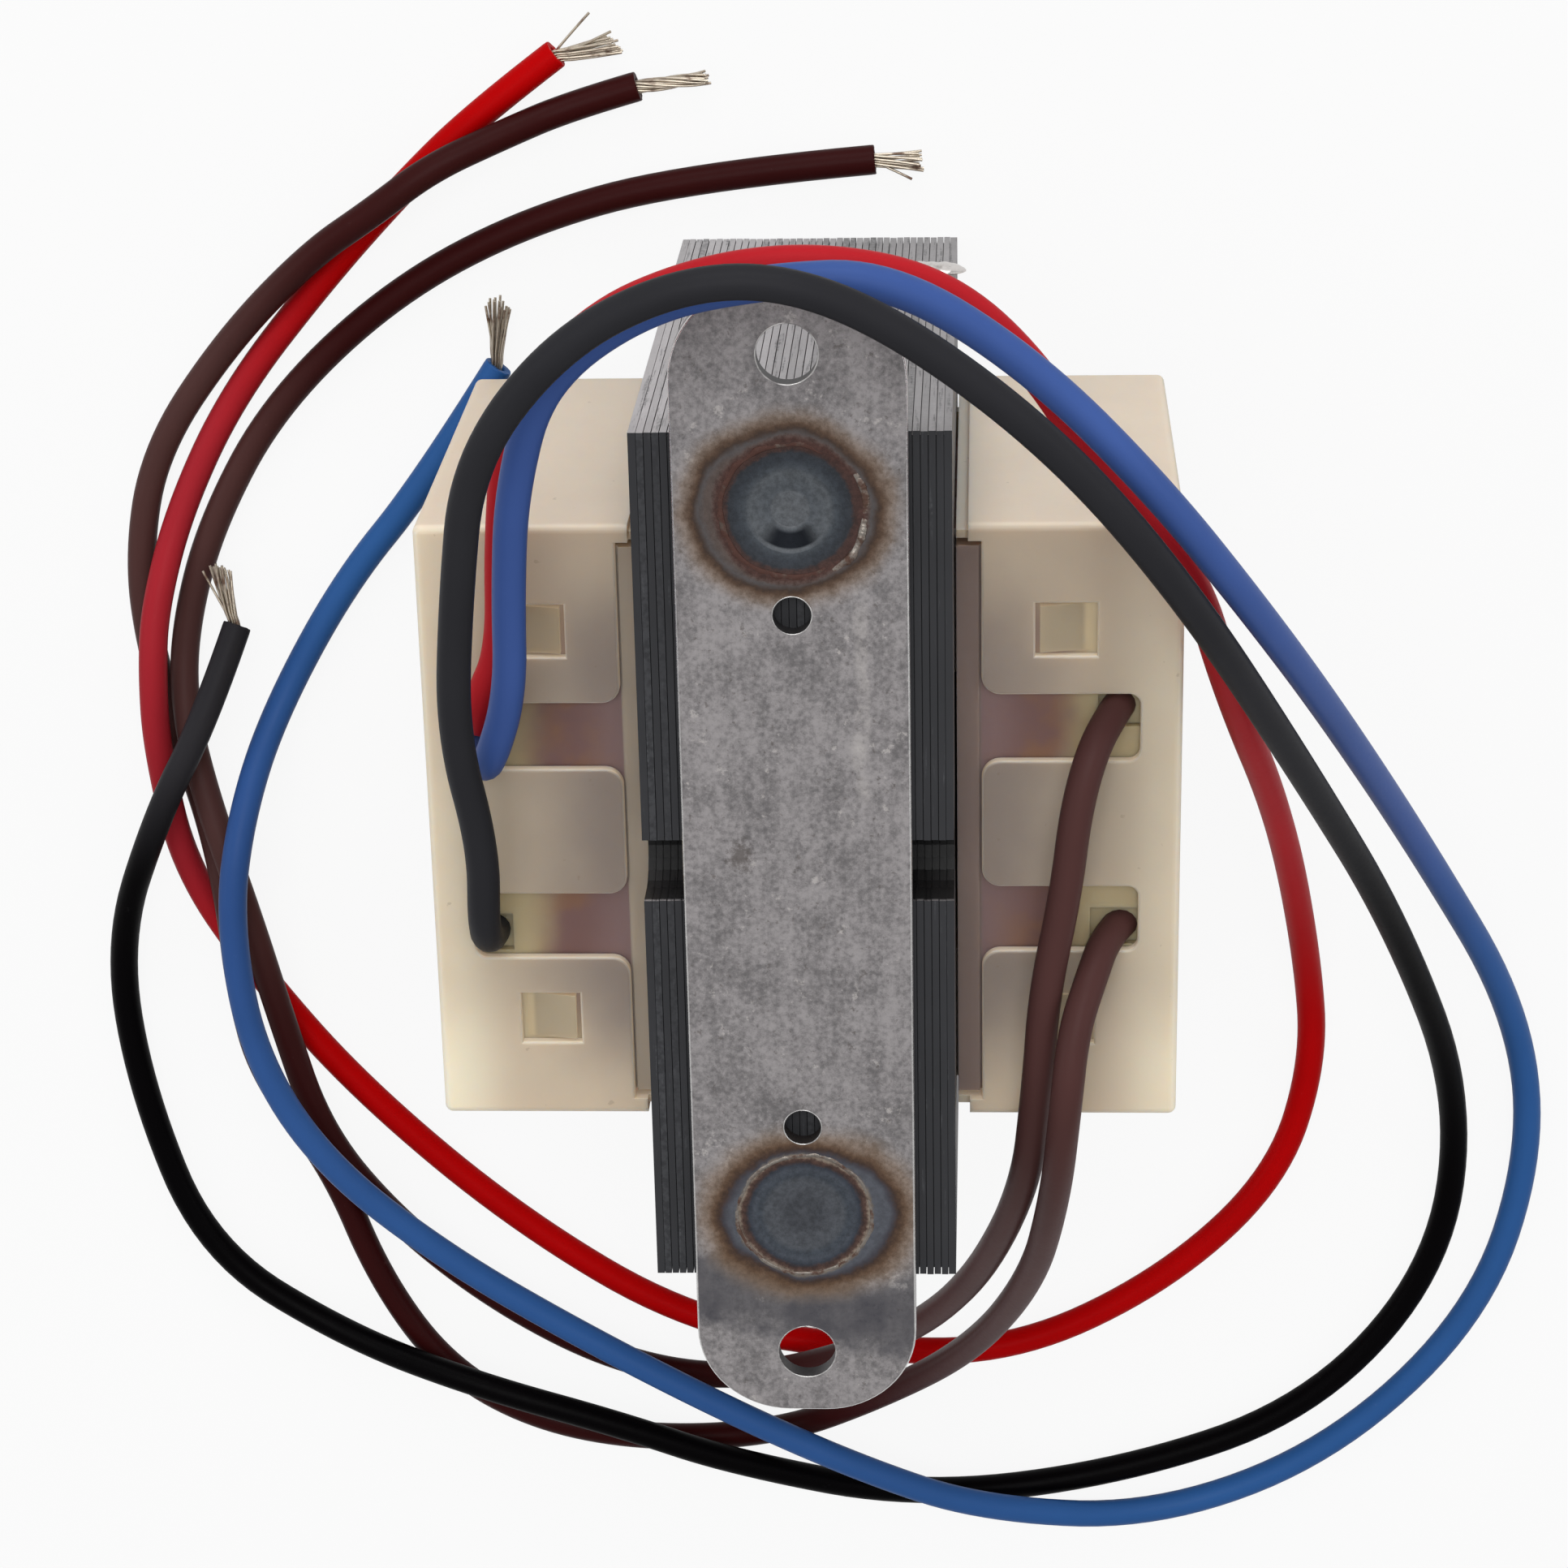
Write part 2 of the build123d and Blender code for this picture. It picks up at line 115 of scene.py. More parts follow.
class Value:
    """A shader socket that takes part in Python arithmetic."""

    def __init__(self, graph: "NodeGraph", socket: bpy.types.NodeSocket) -> None:
        """Wrap an output socket of a graph."""
        self.graph = graph
        self.socket = socket

    __add__ = shader_operator("ADD")
    __radd__ = shader_operator("ADD", reflected=True)
    __sub__ = shader_operator("SUBTRACT")
    __rsub__ = shader_operator("SUBTRACT", reflected=True)
    __mul__ = shader_operator("MULTIPLY")
    __rmul__ = shader_operator("MULTIPLY", reflected=True)
    __truediv__ = shader_operator("DIVIDE")
    __rtruediv__ = shader_operator("DIVIDE", reflected=True)
    __pow__ = shader_operator("POWER")
    __rpow__ = shader_operator("POWER", reflected=True)
    __abs__ = shader_operator("ABSOLUTE")
    floor_at = shader_operator("MAXIMUM")

    def rise(self, low: float, high: float) -> "Value":
        """A soft step from 0 at low to 1 at high.

        Args:
            low: Where the step starts.
            high: Where the step is complete.

        Returns:
            The step, between 0 and 1.
        """
        settings = {"interpolation_type": "SMOOTHSTEP"}
        return self.graph.node("ShaderNodeMapRange", settings, {"Value": self, 1: low, 2: high})

    def fall(self, low: float, high: float) -> "Value":
        """A soft step from 1 at low to 0 at high."""
        return 1 - self.rise(low, high)

    def band(self, low: float, high: float, soft: float) -> "Value":
        """A soft band that is 1 between low and high."""
        return self.rise(low - soft, low) * self.fall(high, high + soft)


class NodeGraph:
    """The node tree of one material, with lengths in millimetres of the frame."""

    def __init__(self, name: str) -> None:
        """Start an empty material.

        Args:
            name: The material's name.
        """
        self.material = bpy.data.materials.new(name)
        self.material.use_nodes = True
        self.tree = self.material.node_tree
        self.tree.nodes.clear()
        coordinates = self.node("ShaderNodeTexCoord", output="Object")
        self.place = self.node(
            "ShaderNodeVectorMath", {"operation": "SCALE"}, {0: coordinates, "Scale": 1 / MM}
        )

    def node(
        self,
        kind: str,
        settings: dict[str, object] | None = None,
        sockets: dict[int | str, object] | None = None,
        output: int | str = 0,
    ) -> Value:
        """Add a node of any type.

        Args:
            kind: The node's type name.
            settings: Properties that are set first; stops are the stops of a colour ramp.
            sockets: Values or links of its inputs, by index or name.
            output: Which of its outputs to return.

        Returns:
            The chosen output.
        """
        made = self.tree.nodes.new(kind)
        for key, setting in (settings or {}).items():
            if key == "stops":
                self._set_stops(made.color_ramp, setting)
            else:
                setattr(made, key, setting)
        for key, feed in (sockets or {}).items():
            socket = made.inputs[key]
            if isinstance(feed, Value):
                self.tree.links.new(feed.socket, socket)
            elif isinstance(feed, tuple) and socket.type == "RGBA":
                socket.default_value = (*feed, 1.0)
            else:
                socket.default_value = feed
        return Value(self, made.outputs[output])

    @staticmethod
    def _set_stops(ramp: bpy.types.ColorRamp, stops: Stops) -> None:
        """Give a colour ramp its stops.

        Args:
            ramp: The ramp of a node that was just made.
            stops: Positions and their colours.
        """
        while len(ramp.elements) < len(stops):
            ramp.elements.new(1.0)
        for element, (position, colour) in zip(ramp.elements, stops):
            element.position = position
            element.color = (*colour, 1.0)

    def axes(self, vector: Value | None = None) -> tuple[Value, Value, Value]:
        """The three parts of a vector, by default of the place in millimetres.

        Args:
            vector: The vector to split, or None for the place.

        Returns:
            Its x, y and z.
        """
        split = self.node("ShaderNodeSeparateXYZ", sockets={0: vector or self.place})
        outputs = split.socket.node.outputs
        return tuple(Value(self, outputs[index]) for index in range(3))

    def normal(self) -> tuple[Value, Value, Value]:
        """The three parts of the surface normal."""
        return self.axes(self.node("ShaderNodeNewGeometry", output="Normal"))

    def stretched(self, factors: Point) -> Value:
        """The place in millimetres, multiplied axis by axis."""
        return self.node("ShaderNodeVectorMath", {"operation": "MULTIPLY"}, {0: self.place, 1: factors})

    def noise(
        self,
        per_mm: float,
        detail: float = 3.0,
        roughness: float = 0.55,
        stretch: Point | None = None,
        seed: float = 0.0,
    ) -> Value:
        """Smooth noise between 0 and 1.

        Args:
            per_mm: Cells per millimetre.
            detail: Octaves.
            roughness: Share of the finer octaves.
            stretch: Factors that squeeze the pattern axis by axis.
            seed: The slice of the pattern.

        Returns:
            The noise value.
        """
        place = self.stretched(stretch) if stretch else self.place
        sockets = {"Vector": place, "W": seed, "Scale": per_mm, "Detail": detail, "Roughness": roughness}
        return self.node("ShaderNodeTexNoise", {"noise_dimensions": "4D"}, sockets)

    def mix(self, share: Operand, first: Paint, second: Paint) -> Value:
        """Blend two colours."""
        return self.node("ShaderNodeMix", {"data_type": "RGBA"}, {0: share, 6: first, 7: second}, output=2)

    def ramp(self, value: Value, stops: Stops) -> Value:
        """Run a value through a list of colours.

        Args:
            value: What picks the colour.
            stops: Values and their colours, rising from zero.

        Returns:
            The colour.
        """
        reach = stops[-1][0]
        scaled = tuple((stop / reach, colour) for stop, colour in stops)
        return self.node("ShaderNodeValToRGB", {"stops": scaled}, {0: value / reach})

    def distance(self, centre: Span, stretch: Span = (1.0, 1.0)) -> Value:
        """Distance in plan from a point, in millimetres, with each axis stretched.

        Args:
            centre: The point's x and y.
            stretch: Factors on x and y.

        Returns:
            The distance.
        """
        x, y, _ = self.axes()
        across = (x - centre[0]) * stretch[0]
        along = (y - centre[1]) * stretch[1]
        return (across * across + along * along) ** 0.5

    def shaded(self, colour: Paint, factor: Value) -> Value:
        """A colour multiplied by a value."""
        return self.node("ShaderNodeVectorMath", {"operation": "SCALE"}, {0: colour, "Scale": factor})

    def bump(self, height: Value, depth_mm: float, strength: float = 1.0) -> Value:
        """A bump normal.

        Args:
            height: The height, between 0 and 1.
            depth_mm: What a height of 1 stands for.
            strength: Share of the bump.

        Returns:
            The normal.
        """
        sockets = {"Strength": strength, "Distance": depth_mm * MM, "Height": height}
        return self.node("ShaderNodeBump", sockets=sockets, output="Normal")

    def surface(self, **sockets: object) -> Material:
        """Close the graph with one Principled shader.

        Args:
            sockets: The shader's inputs.

        Returns:
            The material.
        """
        self.node_output(self.principled(**sockets))
        return self.material

    def principled(self, **sockets: object) -> Value:
        """A Principled shader whose inputs are named with an underscore for each space."""
        named = {key.replace("_", " "): feed for key, feed in sockets.items()}
        return self.node("ShaderNodeBsdfPrincipled", sockets=named)

    def node_output(self, shader: Value) -> None:
        """Send a shader to the material's output."""
        end = self.tree.nodes.new("ShaderNodeOutputMaterial")
        self.tree.links.new(shader.socket, end.inputs["Surface"])


@dataclass(frozen=True)
class SheetSteel:
    """Edges of stacked silicon-steel sheets: dark varnish on the back, bare metal on the ends, whose
    lighter grey is partly painted reflection.
    """

    back: Colour = (0.022, 0.0225, 0.0255)
    back_line: Colour = (0.070, 0.072, 0.078)
    end: Colour = (0.31, 0.296, 0.302)
    end_dark: Colour = (0.060, 0.058, 0.061)
    side: Colour = (0.10, 0.10, 0.105)
    tint: Colour = (0.20, 0.15, 0.125)
    # Painted shade colour of the notch in the back.
    notch: Colour = (0.002, 0.002, 0.002)
    gloss: float = 0.3
    bump_mm: float = 0.02
    streak_stretch: Point = (3.0, 0.16, 0.16)
    # Where the painted light on the ends fades, from the left.
    painted_light_x_mm: Span = (-9.0, 6.0)
    seam_height_mm: float = 12.7
    tint_reach_mm: Span = (0.8, 4.0)
    notch_shade_reach_mm: Span = (2.85, 3.05)
    notch_shade_top_mm: Span = (63.0, 63.35)

    def build(self) -> Material:
        """Make the material.

        Returns:
            The finish of both sheet stacks.
        """
        graph = NodeGraph("sheet_steel_edges")
        x, y, z = graph.axes()
        _, ny, nz = graph.normal()
        sheet = graph.node("ShaderNodeNewGeometry", output="Random Per Island")
        streak = graph.noise(0.9, 4.0, 0.65, self.streak_stretch)
        grain = graph.noise(2.2, 3.0, 0.6, seed=3.0)
        blotch = graph.noise(0.16, 3.0, seed=5.0)
        worn = (streak.rise(0.58, 0.70) * 0.6 + sheet.rise(0.75, 1.0) * 0.35) * grain.rise(0.38, 0.6)
        back = graph.shaded(graph.mix(worn, self.back, self.back_line), 0.75 + 0.5 * blotch)
        dark = (sheet.fall(0.0, 0.3) * 0.55 + streak.fall(0.36, 0.47) * 0.75) * grain.rise(0.3, 0.55)
        # Painted light: the ends grow lighter towards the left; the per-sheet and blotch terms are the
        # steel's own tone.
        light = 0.64 + 0.3 * sheet + 0.4 * (blotch - 0.5) + 0.5 * x.fall(*self.painted_light_x_mm)
        end = graph.shaded(graph.mix(dark, self.end, self.end_dark), light)
        near_seam = abs(z - self.seam_height_mm).fall(*self.tint_reach_mm)
        end = graph.mix(near_seam * (0.15 + 0.4 * blotch), end, self.tint)
        # The ends are lighter than the back partly because they are bare metal and partly through painted
        # reflection.
        facing_end = abs(ny).rise(0.5, 0.8)
        facing_back = nz.rise(0.5, 0.8)
        colour = graph.mix(facing_end, graph.mix(facing_back, self.side, back), end)
        # Painted shade: the notch in the back is darkened as a recess in shade, and loses its metallic
        # sheen.
        notch_painted_shade = abs(y).fall(*self.notch_shade_reach_mm) * z.fall(*self.notch_shade_top_mm)
        colour = graph.mix(notch_painted_shade * 0.95, colour, self.notch)
        return graph.surface(
            Base_Color=colour,
            Metallic=(0.05 + 0.4 * facing_end) * (1 - notch_painted_shade),
            Specular_IOR_Level=self.gloss,
            Roughness=0.55 - 0.14 * facing_end + 0.2 * (grain - 0.5),
            Normal=graph.bump(streak * 0.6 + grain * 0.4, self.bump_mm),
        )


@dataclass(frozen=True)
class WeldMark:
    """Where a resistance weld has pressed and heated the foot plate; lengths from its centre."""

    y_mm: float
    disc: Stops
    tint: Stops
    tint_shift_mm: float
    tint_stretch: Span
    tint_fade_mm: Span
    shadow: float

    @property
    def disc_reach_mm(self) -> float:
        """Radius of the pressed disc."""
        return self.disc[-1][0]


UPPER_WELD = WeldMark(
    y_mm=31.975,
    disc=(
        (0.0, (0.082, 0.088, 0.096)),
        (1.5, (0.080, 0.087, 0.096)),
        (1.7, (0.062, 0.070, 0.080)),
        (3.2, (0.074, 0.082, 0.091)),
        (3.7, (0.038, 0.045, 0.054)),
        (4.3, (0.023, 0.028, 0.036)),
        (4.9, (0.020, 0.023, 0.029)),
        (5.15, (0.038, 0.019, 0.016)),
        (5.9, (0.052, 0.022, 0.017)),
        (6.4, (0.078, 0.055, 0.048)),
    ),
    tint=(
        (0.0, (0.075, 0.054, 0.046)),
        (6.2, (0.080, 0.060, 0.053)),
        (6.7, (0.072, 0.064, 0.064)),
        (7.15, (0.044, 0.027, 0.020)),
        (7.6, (0.078, 0.044, 0.026)),
        (8.4, (0.160, 0.105, 0.066)),
        (9.8, (0.235, 0.186, 0.150)),
    ),
    tint_shift_mm=-0.4,
    tint_stretch=(0.97, 1.07),
    tint_fade_mm=(7.3, 9.8),
    shadow=1.0,
)
LOWER_WELD = WeldMark(
    y_mm=-31.475,
    disc=(
        (0.0, (0.044, 0.047, 0.055)),
        (1.3, (0.036, 0.039, 0.046)),
        (2.2, (0.052, 0.056, 0.065)),
        (3.3, (0.052, 0.057, 0.066)),
        (3.8, (0.034, 0.041, 0.052)),
        (4.4, (0.042, 0.049, 0.062)),
        (4.8, (0.024, 0.029, 0.040)),
        (5.1, (0.036, 0.020, 0.017)),
        (5.4, (0.062, 0.034, 0.026)),
        (5.65, (0.165, 0.132, 0.104)),
        (6.0, (0.110, 0.096, 0.086)),
    ),
    tint=(
        (0.0, (0.072, 0.076, 0.090)),
        (6.3, (0.072, 0.077, 0.092)),
        (6.7, (0.046, 0.044, 0.054)),
        (7.1, (0.044, 0.026, 0.020)),
        (7.7, (0.092, 0.050, 0.026)),
        (8.6, (0.180, 0.116, 0.070)),
        (10.4, (0.250, 0.196, 0.150)),
    ),
    tint_shift_mm=0.45,
    tint_stretch=(0.93, 1.12),
    tint_fade_mm=(7.2, 10.4),
    shadow=0.0,
)


@dataclass(frozen=True)
class GalvanisedPlate:
    """Mottled zinc-coated sheet with two heat-tinted electrode marks."""

    grey: Colour = (0.285, 0.268, 0.270)
    pale: Colour = (0.390, 0.366, 0.354)
    dull: Colour = (0.122, 0.115, 0.117)
    speck: Colour = (0.085, 0.072, 0.066)
    # Colour of the darker band across the lower tab.
    tab_darkening: Colour = (0.048, 0.047, 0.056)
    # Worn metal and painted highlight on the rounded edges.
    worn_edge_and_highlight: Colour = (0.80, 0.79, 0.78)
    dimple_shade: Colour = (0.006, 0.007, 0.009)
    bore_shade: Colour = (0.022, 0.021, 0.022)
    gloss: float = 0.28
    bump_mm: float = 0.03
    coarse_waver_mm: float = 2.4
    disc_grain_mm: float = 1.3
    tint_grain_mm: float = 0.6
    ragged_mm: Span = (3.4, 5.6)
    disc_edge_mm: Span = (-0.25, 0.1)
    crescent: Span = (0.5, 0.92)
    crescent_inner_mm: Span = (1.5, 2.1)
    crescent_outer_mm: Span = (3.15, 3.4)
    centre_guard_mm: float = 0.1
    bore_reach_mm: Span = (4.0, 5.0)
    rolled_stretch: Point = (1.6, 0.12, 1.0)
    tab_darkening_mm: Span = (-42.6, -38.2)
    tab_waver_mm: float = 9.0
    tab_slant: float = 0.22
    tab_soft_mm: float = 2.6
    streak_x_mm: float = 5.6
    streak_y_mm: Span = (8.0, 26.0)
    streak_waver_mm: float = 3.0
    streak_soft_mm: float = 2.0
    streak_half_mm: Span = (0.25, 0.8)
    smudge_mm: Span = (-4.7, 2.0)
    smudge_stretch: Span = (1.0, 0.7)
    smudge_waver_mm: float = 3.0
    smudge_fade_mm: Span = (0.3, 1.3)
    marks: tuple[WeldMark, ...] = (UPPER_WELD, LOWER_WELD)

    def build(self) -> Material:
        """Make the material.

        Returns:
            The finish of the foot plate.
        """
        graph = NodeGraph("galvanised_plate")
        x, y, _ = graph.axes()
        _, _, nz = graph.normal()
        coarse = graph.noise(0.22, 5.0, 0.62)
        fine = graph.noise(2.1, 5.0, 0.74, seed=2.0)
        colour = self.sheet(graph, coarse, fine)
        waver = (coarse - 0.5) * self.coarse_waver_mm
        wobble = waver + (fine - 0.5) * self.disc_grain_mm
        grain = fine.rise(0.34, 0.66)
        oxide: Operand = 0.0
        shade: Operand = 0.0
        for mark in self.marks:
            tint_radius = graph.distance((mark.tint_shift_mm, mark.y_mm), mark.tint_stretch)
            tint_radius = tint_radius + waver + (fine - 0.5) * self.tint_grain_mm
            tint = graph.shaded(graph.ramp(tint_radius, mark.tint), 0.85 + 0.3 * grain)
            colour = graph.mix(tint_radius.fall(*mark.tint_fade_mm), colour, tint)
            radius = graph.distance((0.0, mark.y_mm))
            ragged = radius + wobble * 0.55 * radius.rise(*self.ragged_mm)
            disc = ragged.fall(*(mark.disc_reach_mm + edge for edge in self.disc_edge_mm))
            pressed = graph.shaded(graph.ramp(ragged, mark.disc), 0.74 + 0.52 * grain)
            colour = graph.mix(disc, colour, pressed)
            below = ((mark.y_mm - y) / radius.floor_at(self.centre_guard_mm)).rise(*self.crescent)
            hollow = radius.rise(*self.crescent_inner_mm) * radius.fall(*self.crescent_outer_mm)
            dark = below * hollow * mark.shadow
            colour = graph.mix(dark, colour, self.dimple_shade)
            shade = dark + shade
            oxide = disc + oxide
        # Worn bright metal on the rounded edges, and a painted highlight: the bright colour stands in for
        # glints along the edges.
        edge = nz.rise(0.15, 0.35) * nz.fall(0.84, 0.95) * (1.0 - oxide)
        colour = graph.mix(edge * (0.35 + 0.6 * fine), colour, self.worn_edge_and_highlight)
        bore = abs(nz).fall(0.2, 0.4) * abs(x).fall(*self.bore_reach_mm)
        colour = graph.mix(bore * 0.9, colour, self.bore_shade)
        return graph.surface(
            Base_Color=colour,
            Specular_IOR_Level=self.gloss,
            Metallic=0.30 - 0.2 * oxide + 0.6 * edge + 0.85 * shade,
            Roughness=0.48 + 0.24 * (fine - 0.5) - 0.22 * edge - 0.08 * oxide,
            Normal=graph.bump(fine * 0.8 + coarse * 0.2, self.bump_mm),
        )

    def sheet(self, graph: NodeGraph, coarse: Value, fine: Value) -> Value:
        """The plain sheet with its mottling, specks, a smudge and a darker band across the lower tab.

        Args:
            graph: The plate's graph.
            coarse: Its coarse noise.
            fine: Its fine noise.

        Returns:
            The colour.
        """
        x, y, _ = graph.axes()
        rolled = graph.noise(0.6, 3.0, 0.6, self.rolled_stretch, seed=4.0)
        flake = graph.noise(0.5, 4.0, 0.7, seed=7.0)
        shade = 0.35 * coarse + 0.5 * fine + 0.15 * rolled
        colour = graph.mix(shade.rise(0.38, 0.60), self.dull, self.grey)
        colour = graph.mix(flake.rise(0.60, 0.66) * fine.rise(0.36, 0.56) * 0.85, colour, self.pale)
        specks = graph.noise(1.5, 3.0, 0.7, seed=9.0).rise(0.60, 0.70)
        colour = graph.mix(specks * 0.6, colour, self.speck)
        off_line = abs(x - self.streak_x_mm + (coarse - 0.5) * self.streak_waver_mm)
        line = off_line.fall(*self.streak_half_mm)
        streak = line * y.band(*self.streak_y_mm, self.streak_soft_mm)
        streak = streak * flake.rise(0.36, 0.60) * (0.4 + fine)
        colour = graph.mix(streak * 0.6, colour, self.pale)
        # A darker band across the lower tab, slanted and wavering.
        along = y + (coarse - 0.5) * self.tab_waver_mm + x * self.tab_slant
        tab = along.band(*self.tab_darkening_mm, self.tab_soft_mm)
        depth = 0.62 + 0.3 * coarse.rise(0.38, 0.62) + 0.5 * (fine - 0.5)
        colour = graph.mix(tab * depth, colour, self.tab_darkening)
        smudge = graph.distance(self.smudge_mm, self.smudge_stretch)
        smudge = smudge + (fine - 0.5) * self.smudge_waver_mm
        return graph.mix(smudge.fall(*self.smudge_fade_mm) * 0.7, colour, self.speck)


@dataclass(frozen=True)
class CoilShade:
    """Footprint of the coil, which shows through the nylon as a soft dark tint."""

    half_x_mm: float = 23.15
    half_y_mm: float = 22.85
    corner_mm: float = 9.9
    waver_mm: float = 4.0

    def share(self, graph: NodeGraph, fade_mm: Span, cloud: Value) -> Value:
        """How much of the coil shows.

        Args:
            graph: The material's graph.
            fade_mm: From the footprint's edge, where the tint is full and where it has gone.
            cloud: A noise that makes the edge uneven.

        Returns:
            The share, between 0 and 1.
        """
        x, y, _ = graph.axes()
        over_x = (abs(x) - (self.half_x_mm - self.corner_mm)).floor_at(0.0)
        over_y = (abs(y) - (self.half_y_mm - self.corner_mm)).floor_at(0.0)
        gap = (over_x * over_x + over_y * over_y) ** 0.5 - self.corner_mm
        return (gap + (cloud - 0.5) * self.waver_mm).fall(*fade_mm)


@dataclass(frozen=True)
class Nylon:
    """Milky unfilled nylon: soft inner scatter, some light straight through thin walls, and a painted glow
    in narrow gaps.
    """

    glow: Colour = (0.80, 0.66, 0.44)
    # Painted glow colour of narrow gaps.
    painted_gap_glow: Colour = (0.135, 0.108, 0.080)
    through: float = 0.15
    gloss: float = 0.35
    scatter: float = 0.8
    scatter_colours: Colour = (1.0, 0.75, 0.5)
    scatter_mm: float = 2.0
    bump_mm: float = 0.03

    def close(
        self, graph: NodeGraph, colour: Value, gap: Value, roughness: float, cloud: Value
    ) -> Material:
        """Close a graph with the nylon's shaders.

        Args:
            graph: The material's graph.
            colour: Its colour.
            gap: Where narrow gaps get a painted glow, emission that stands in for light carried through the
                nylon round them, between 0 and 1.
            roughness: Its mean roughness.
            cloud: Its coarse noise.

        Returns:
            The material.
        """
        fine = graph.noise(1.8, 3.0, 0.6, seed=2.0)
        body = graph.principled(
            Base_Color=colour,
            Roughness=roughness + 0.12 * (fine - 0.5),
            Specular_IOR_Level=self.gloss,
            Subsurface_Weight=self.scatter,
            Subsurface_Radius=self.scatter_colours,
            Subsurface_Scale=self.scatter_mm * MM,
            # Painted light: emission makes narrow gaps glow, though the nylon is no lamp.
            Emission_Color=graph.mix(gap, (0.0, 0.0, 0.0), self.painted_gap_glow),
            Emission_Strength=1.0,
            Normal=graph.bump(fine * 0.5 + cloud * 0.5, self.bump_mm, 0.6),
        )
        through = graph.node("ShaderNodeBsdfTranslucent", sockets={"Color": self.glow})
        mixed = graph.node("ShaderNodeMixShader", sockets={0: self.through, 1: body, 2: through})
        graph.node_output(mixed)
        return graph.material


@dataclass(frozen=True)
class CoverNylon:
    """The clip-on covers: cream, greyed where the coil is close behind, with painted light on the end walls
    and a painted highlight on thin edges.
    """

    top: Colour = (0.51, 0.425, 0.325)
    outer: Colour = (0.72, 0.63, 0.49)
    shaded: Colour = (0.28, 0.23, 0.20)
    # Painted light: lighter colour of the end walls.
    lit_end_wall: Colour = (0.775, 0.655, 0.525)
    # Painted highlight colour of thin rounded edges.
    rim_painted_light: Colour = (0.92, 0.87, 0.78)
    dirt: Colour = (0.20, 0.14, 0.09)
    roughness: float = 0.40
    outer_mm: Span = (25.0, 31.5)
    coil_fade_mm: Span = (-7.0, 4.0)
    right_shade_mm: Span = (22.0, 28.0)
    low_light_mm: Span = (-24.0, -13.0)
    comb_top_mm: Span = (51.35, 51.85)
    inside_x_mm: Span = (30.9, 31.2)
    inside_y_mm: Span = (25.95, 26.25)

    def build(self) -> Material:
        """Make the material.

        Returns:
            The finish of both covers.
        """
        graph = NodeGraph("cover_nylon")
        x, y, z = graph.axes()
        _, ny, nz = graph.normal()
        cloud = graph.noise(0.12, 3.0, 0.5)
        behind = CoilShade().share(graph, self.coil_fade_mm, cloud) * abs(nz).rise(0.4, 0.9)
        light = 1.0 - 0.13 * x.rise(*self.right_shade_mm) + 0.26 * y.fall(*self.low_light_mm)
        colour = graph.shaded(graph.mix(abs(x).rise(*self.outer_mm), self.top, self.outer), light)
        colour = graph.mix(behind * 0.95, colour, self.shaded)
        # Painted light: the end walls facing ±Y get a lighter copy of the nylon's colour.
        colour = graph.mix(abs(ny).rise(0.5, 0.9), colour, self.lit_end_wall)
        # Painted highlight: rounded edges are mixed towards a pale cream, standing in for light caught on
        # thin edges.
        edge = abs(nz).rise(0.1, 0.3) * abs(nz).fall(0.88, 0.97)
        colour = graph.mix(edge * 0.22, colour, self.rim_painted_light)
        colour = graph.shaded(colour, 0.92 + 0.16 * cloud)
        dirt = graph.noise(0.9, 2.0, 0.6, seed=6.0).rise(0.71, 0.75)
        colour = graph.mix(dirt * 0.3, colour, self.dirt)
        # Painted light: steep walls of the comb, inside the cover's outer walls, get the gap glow.
        steep = abs(nz).fall(0.3, 0.6) * z.rise(*self.comb_top_mm)
        gap = steep * abs(x).fall(*self.inside_x_mm) * abs(y).fall(*self.inside_y_mm)
        return Nylon().close(graph, colour, gap, self.roughness, cloud)


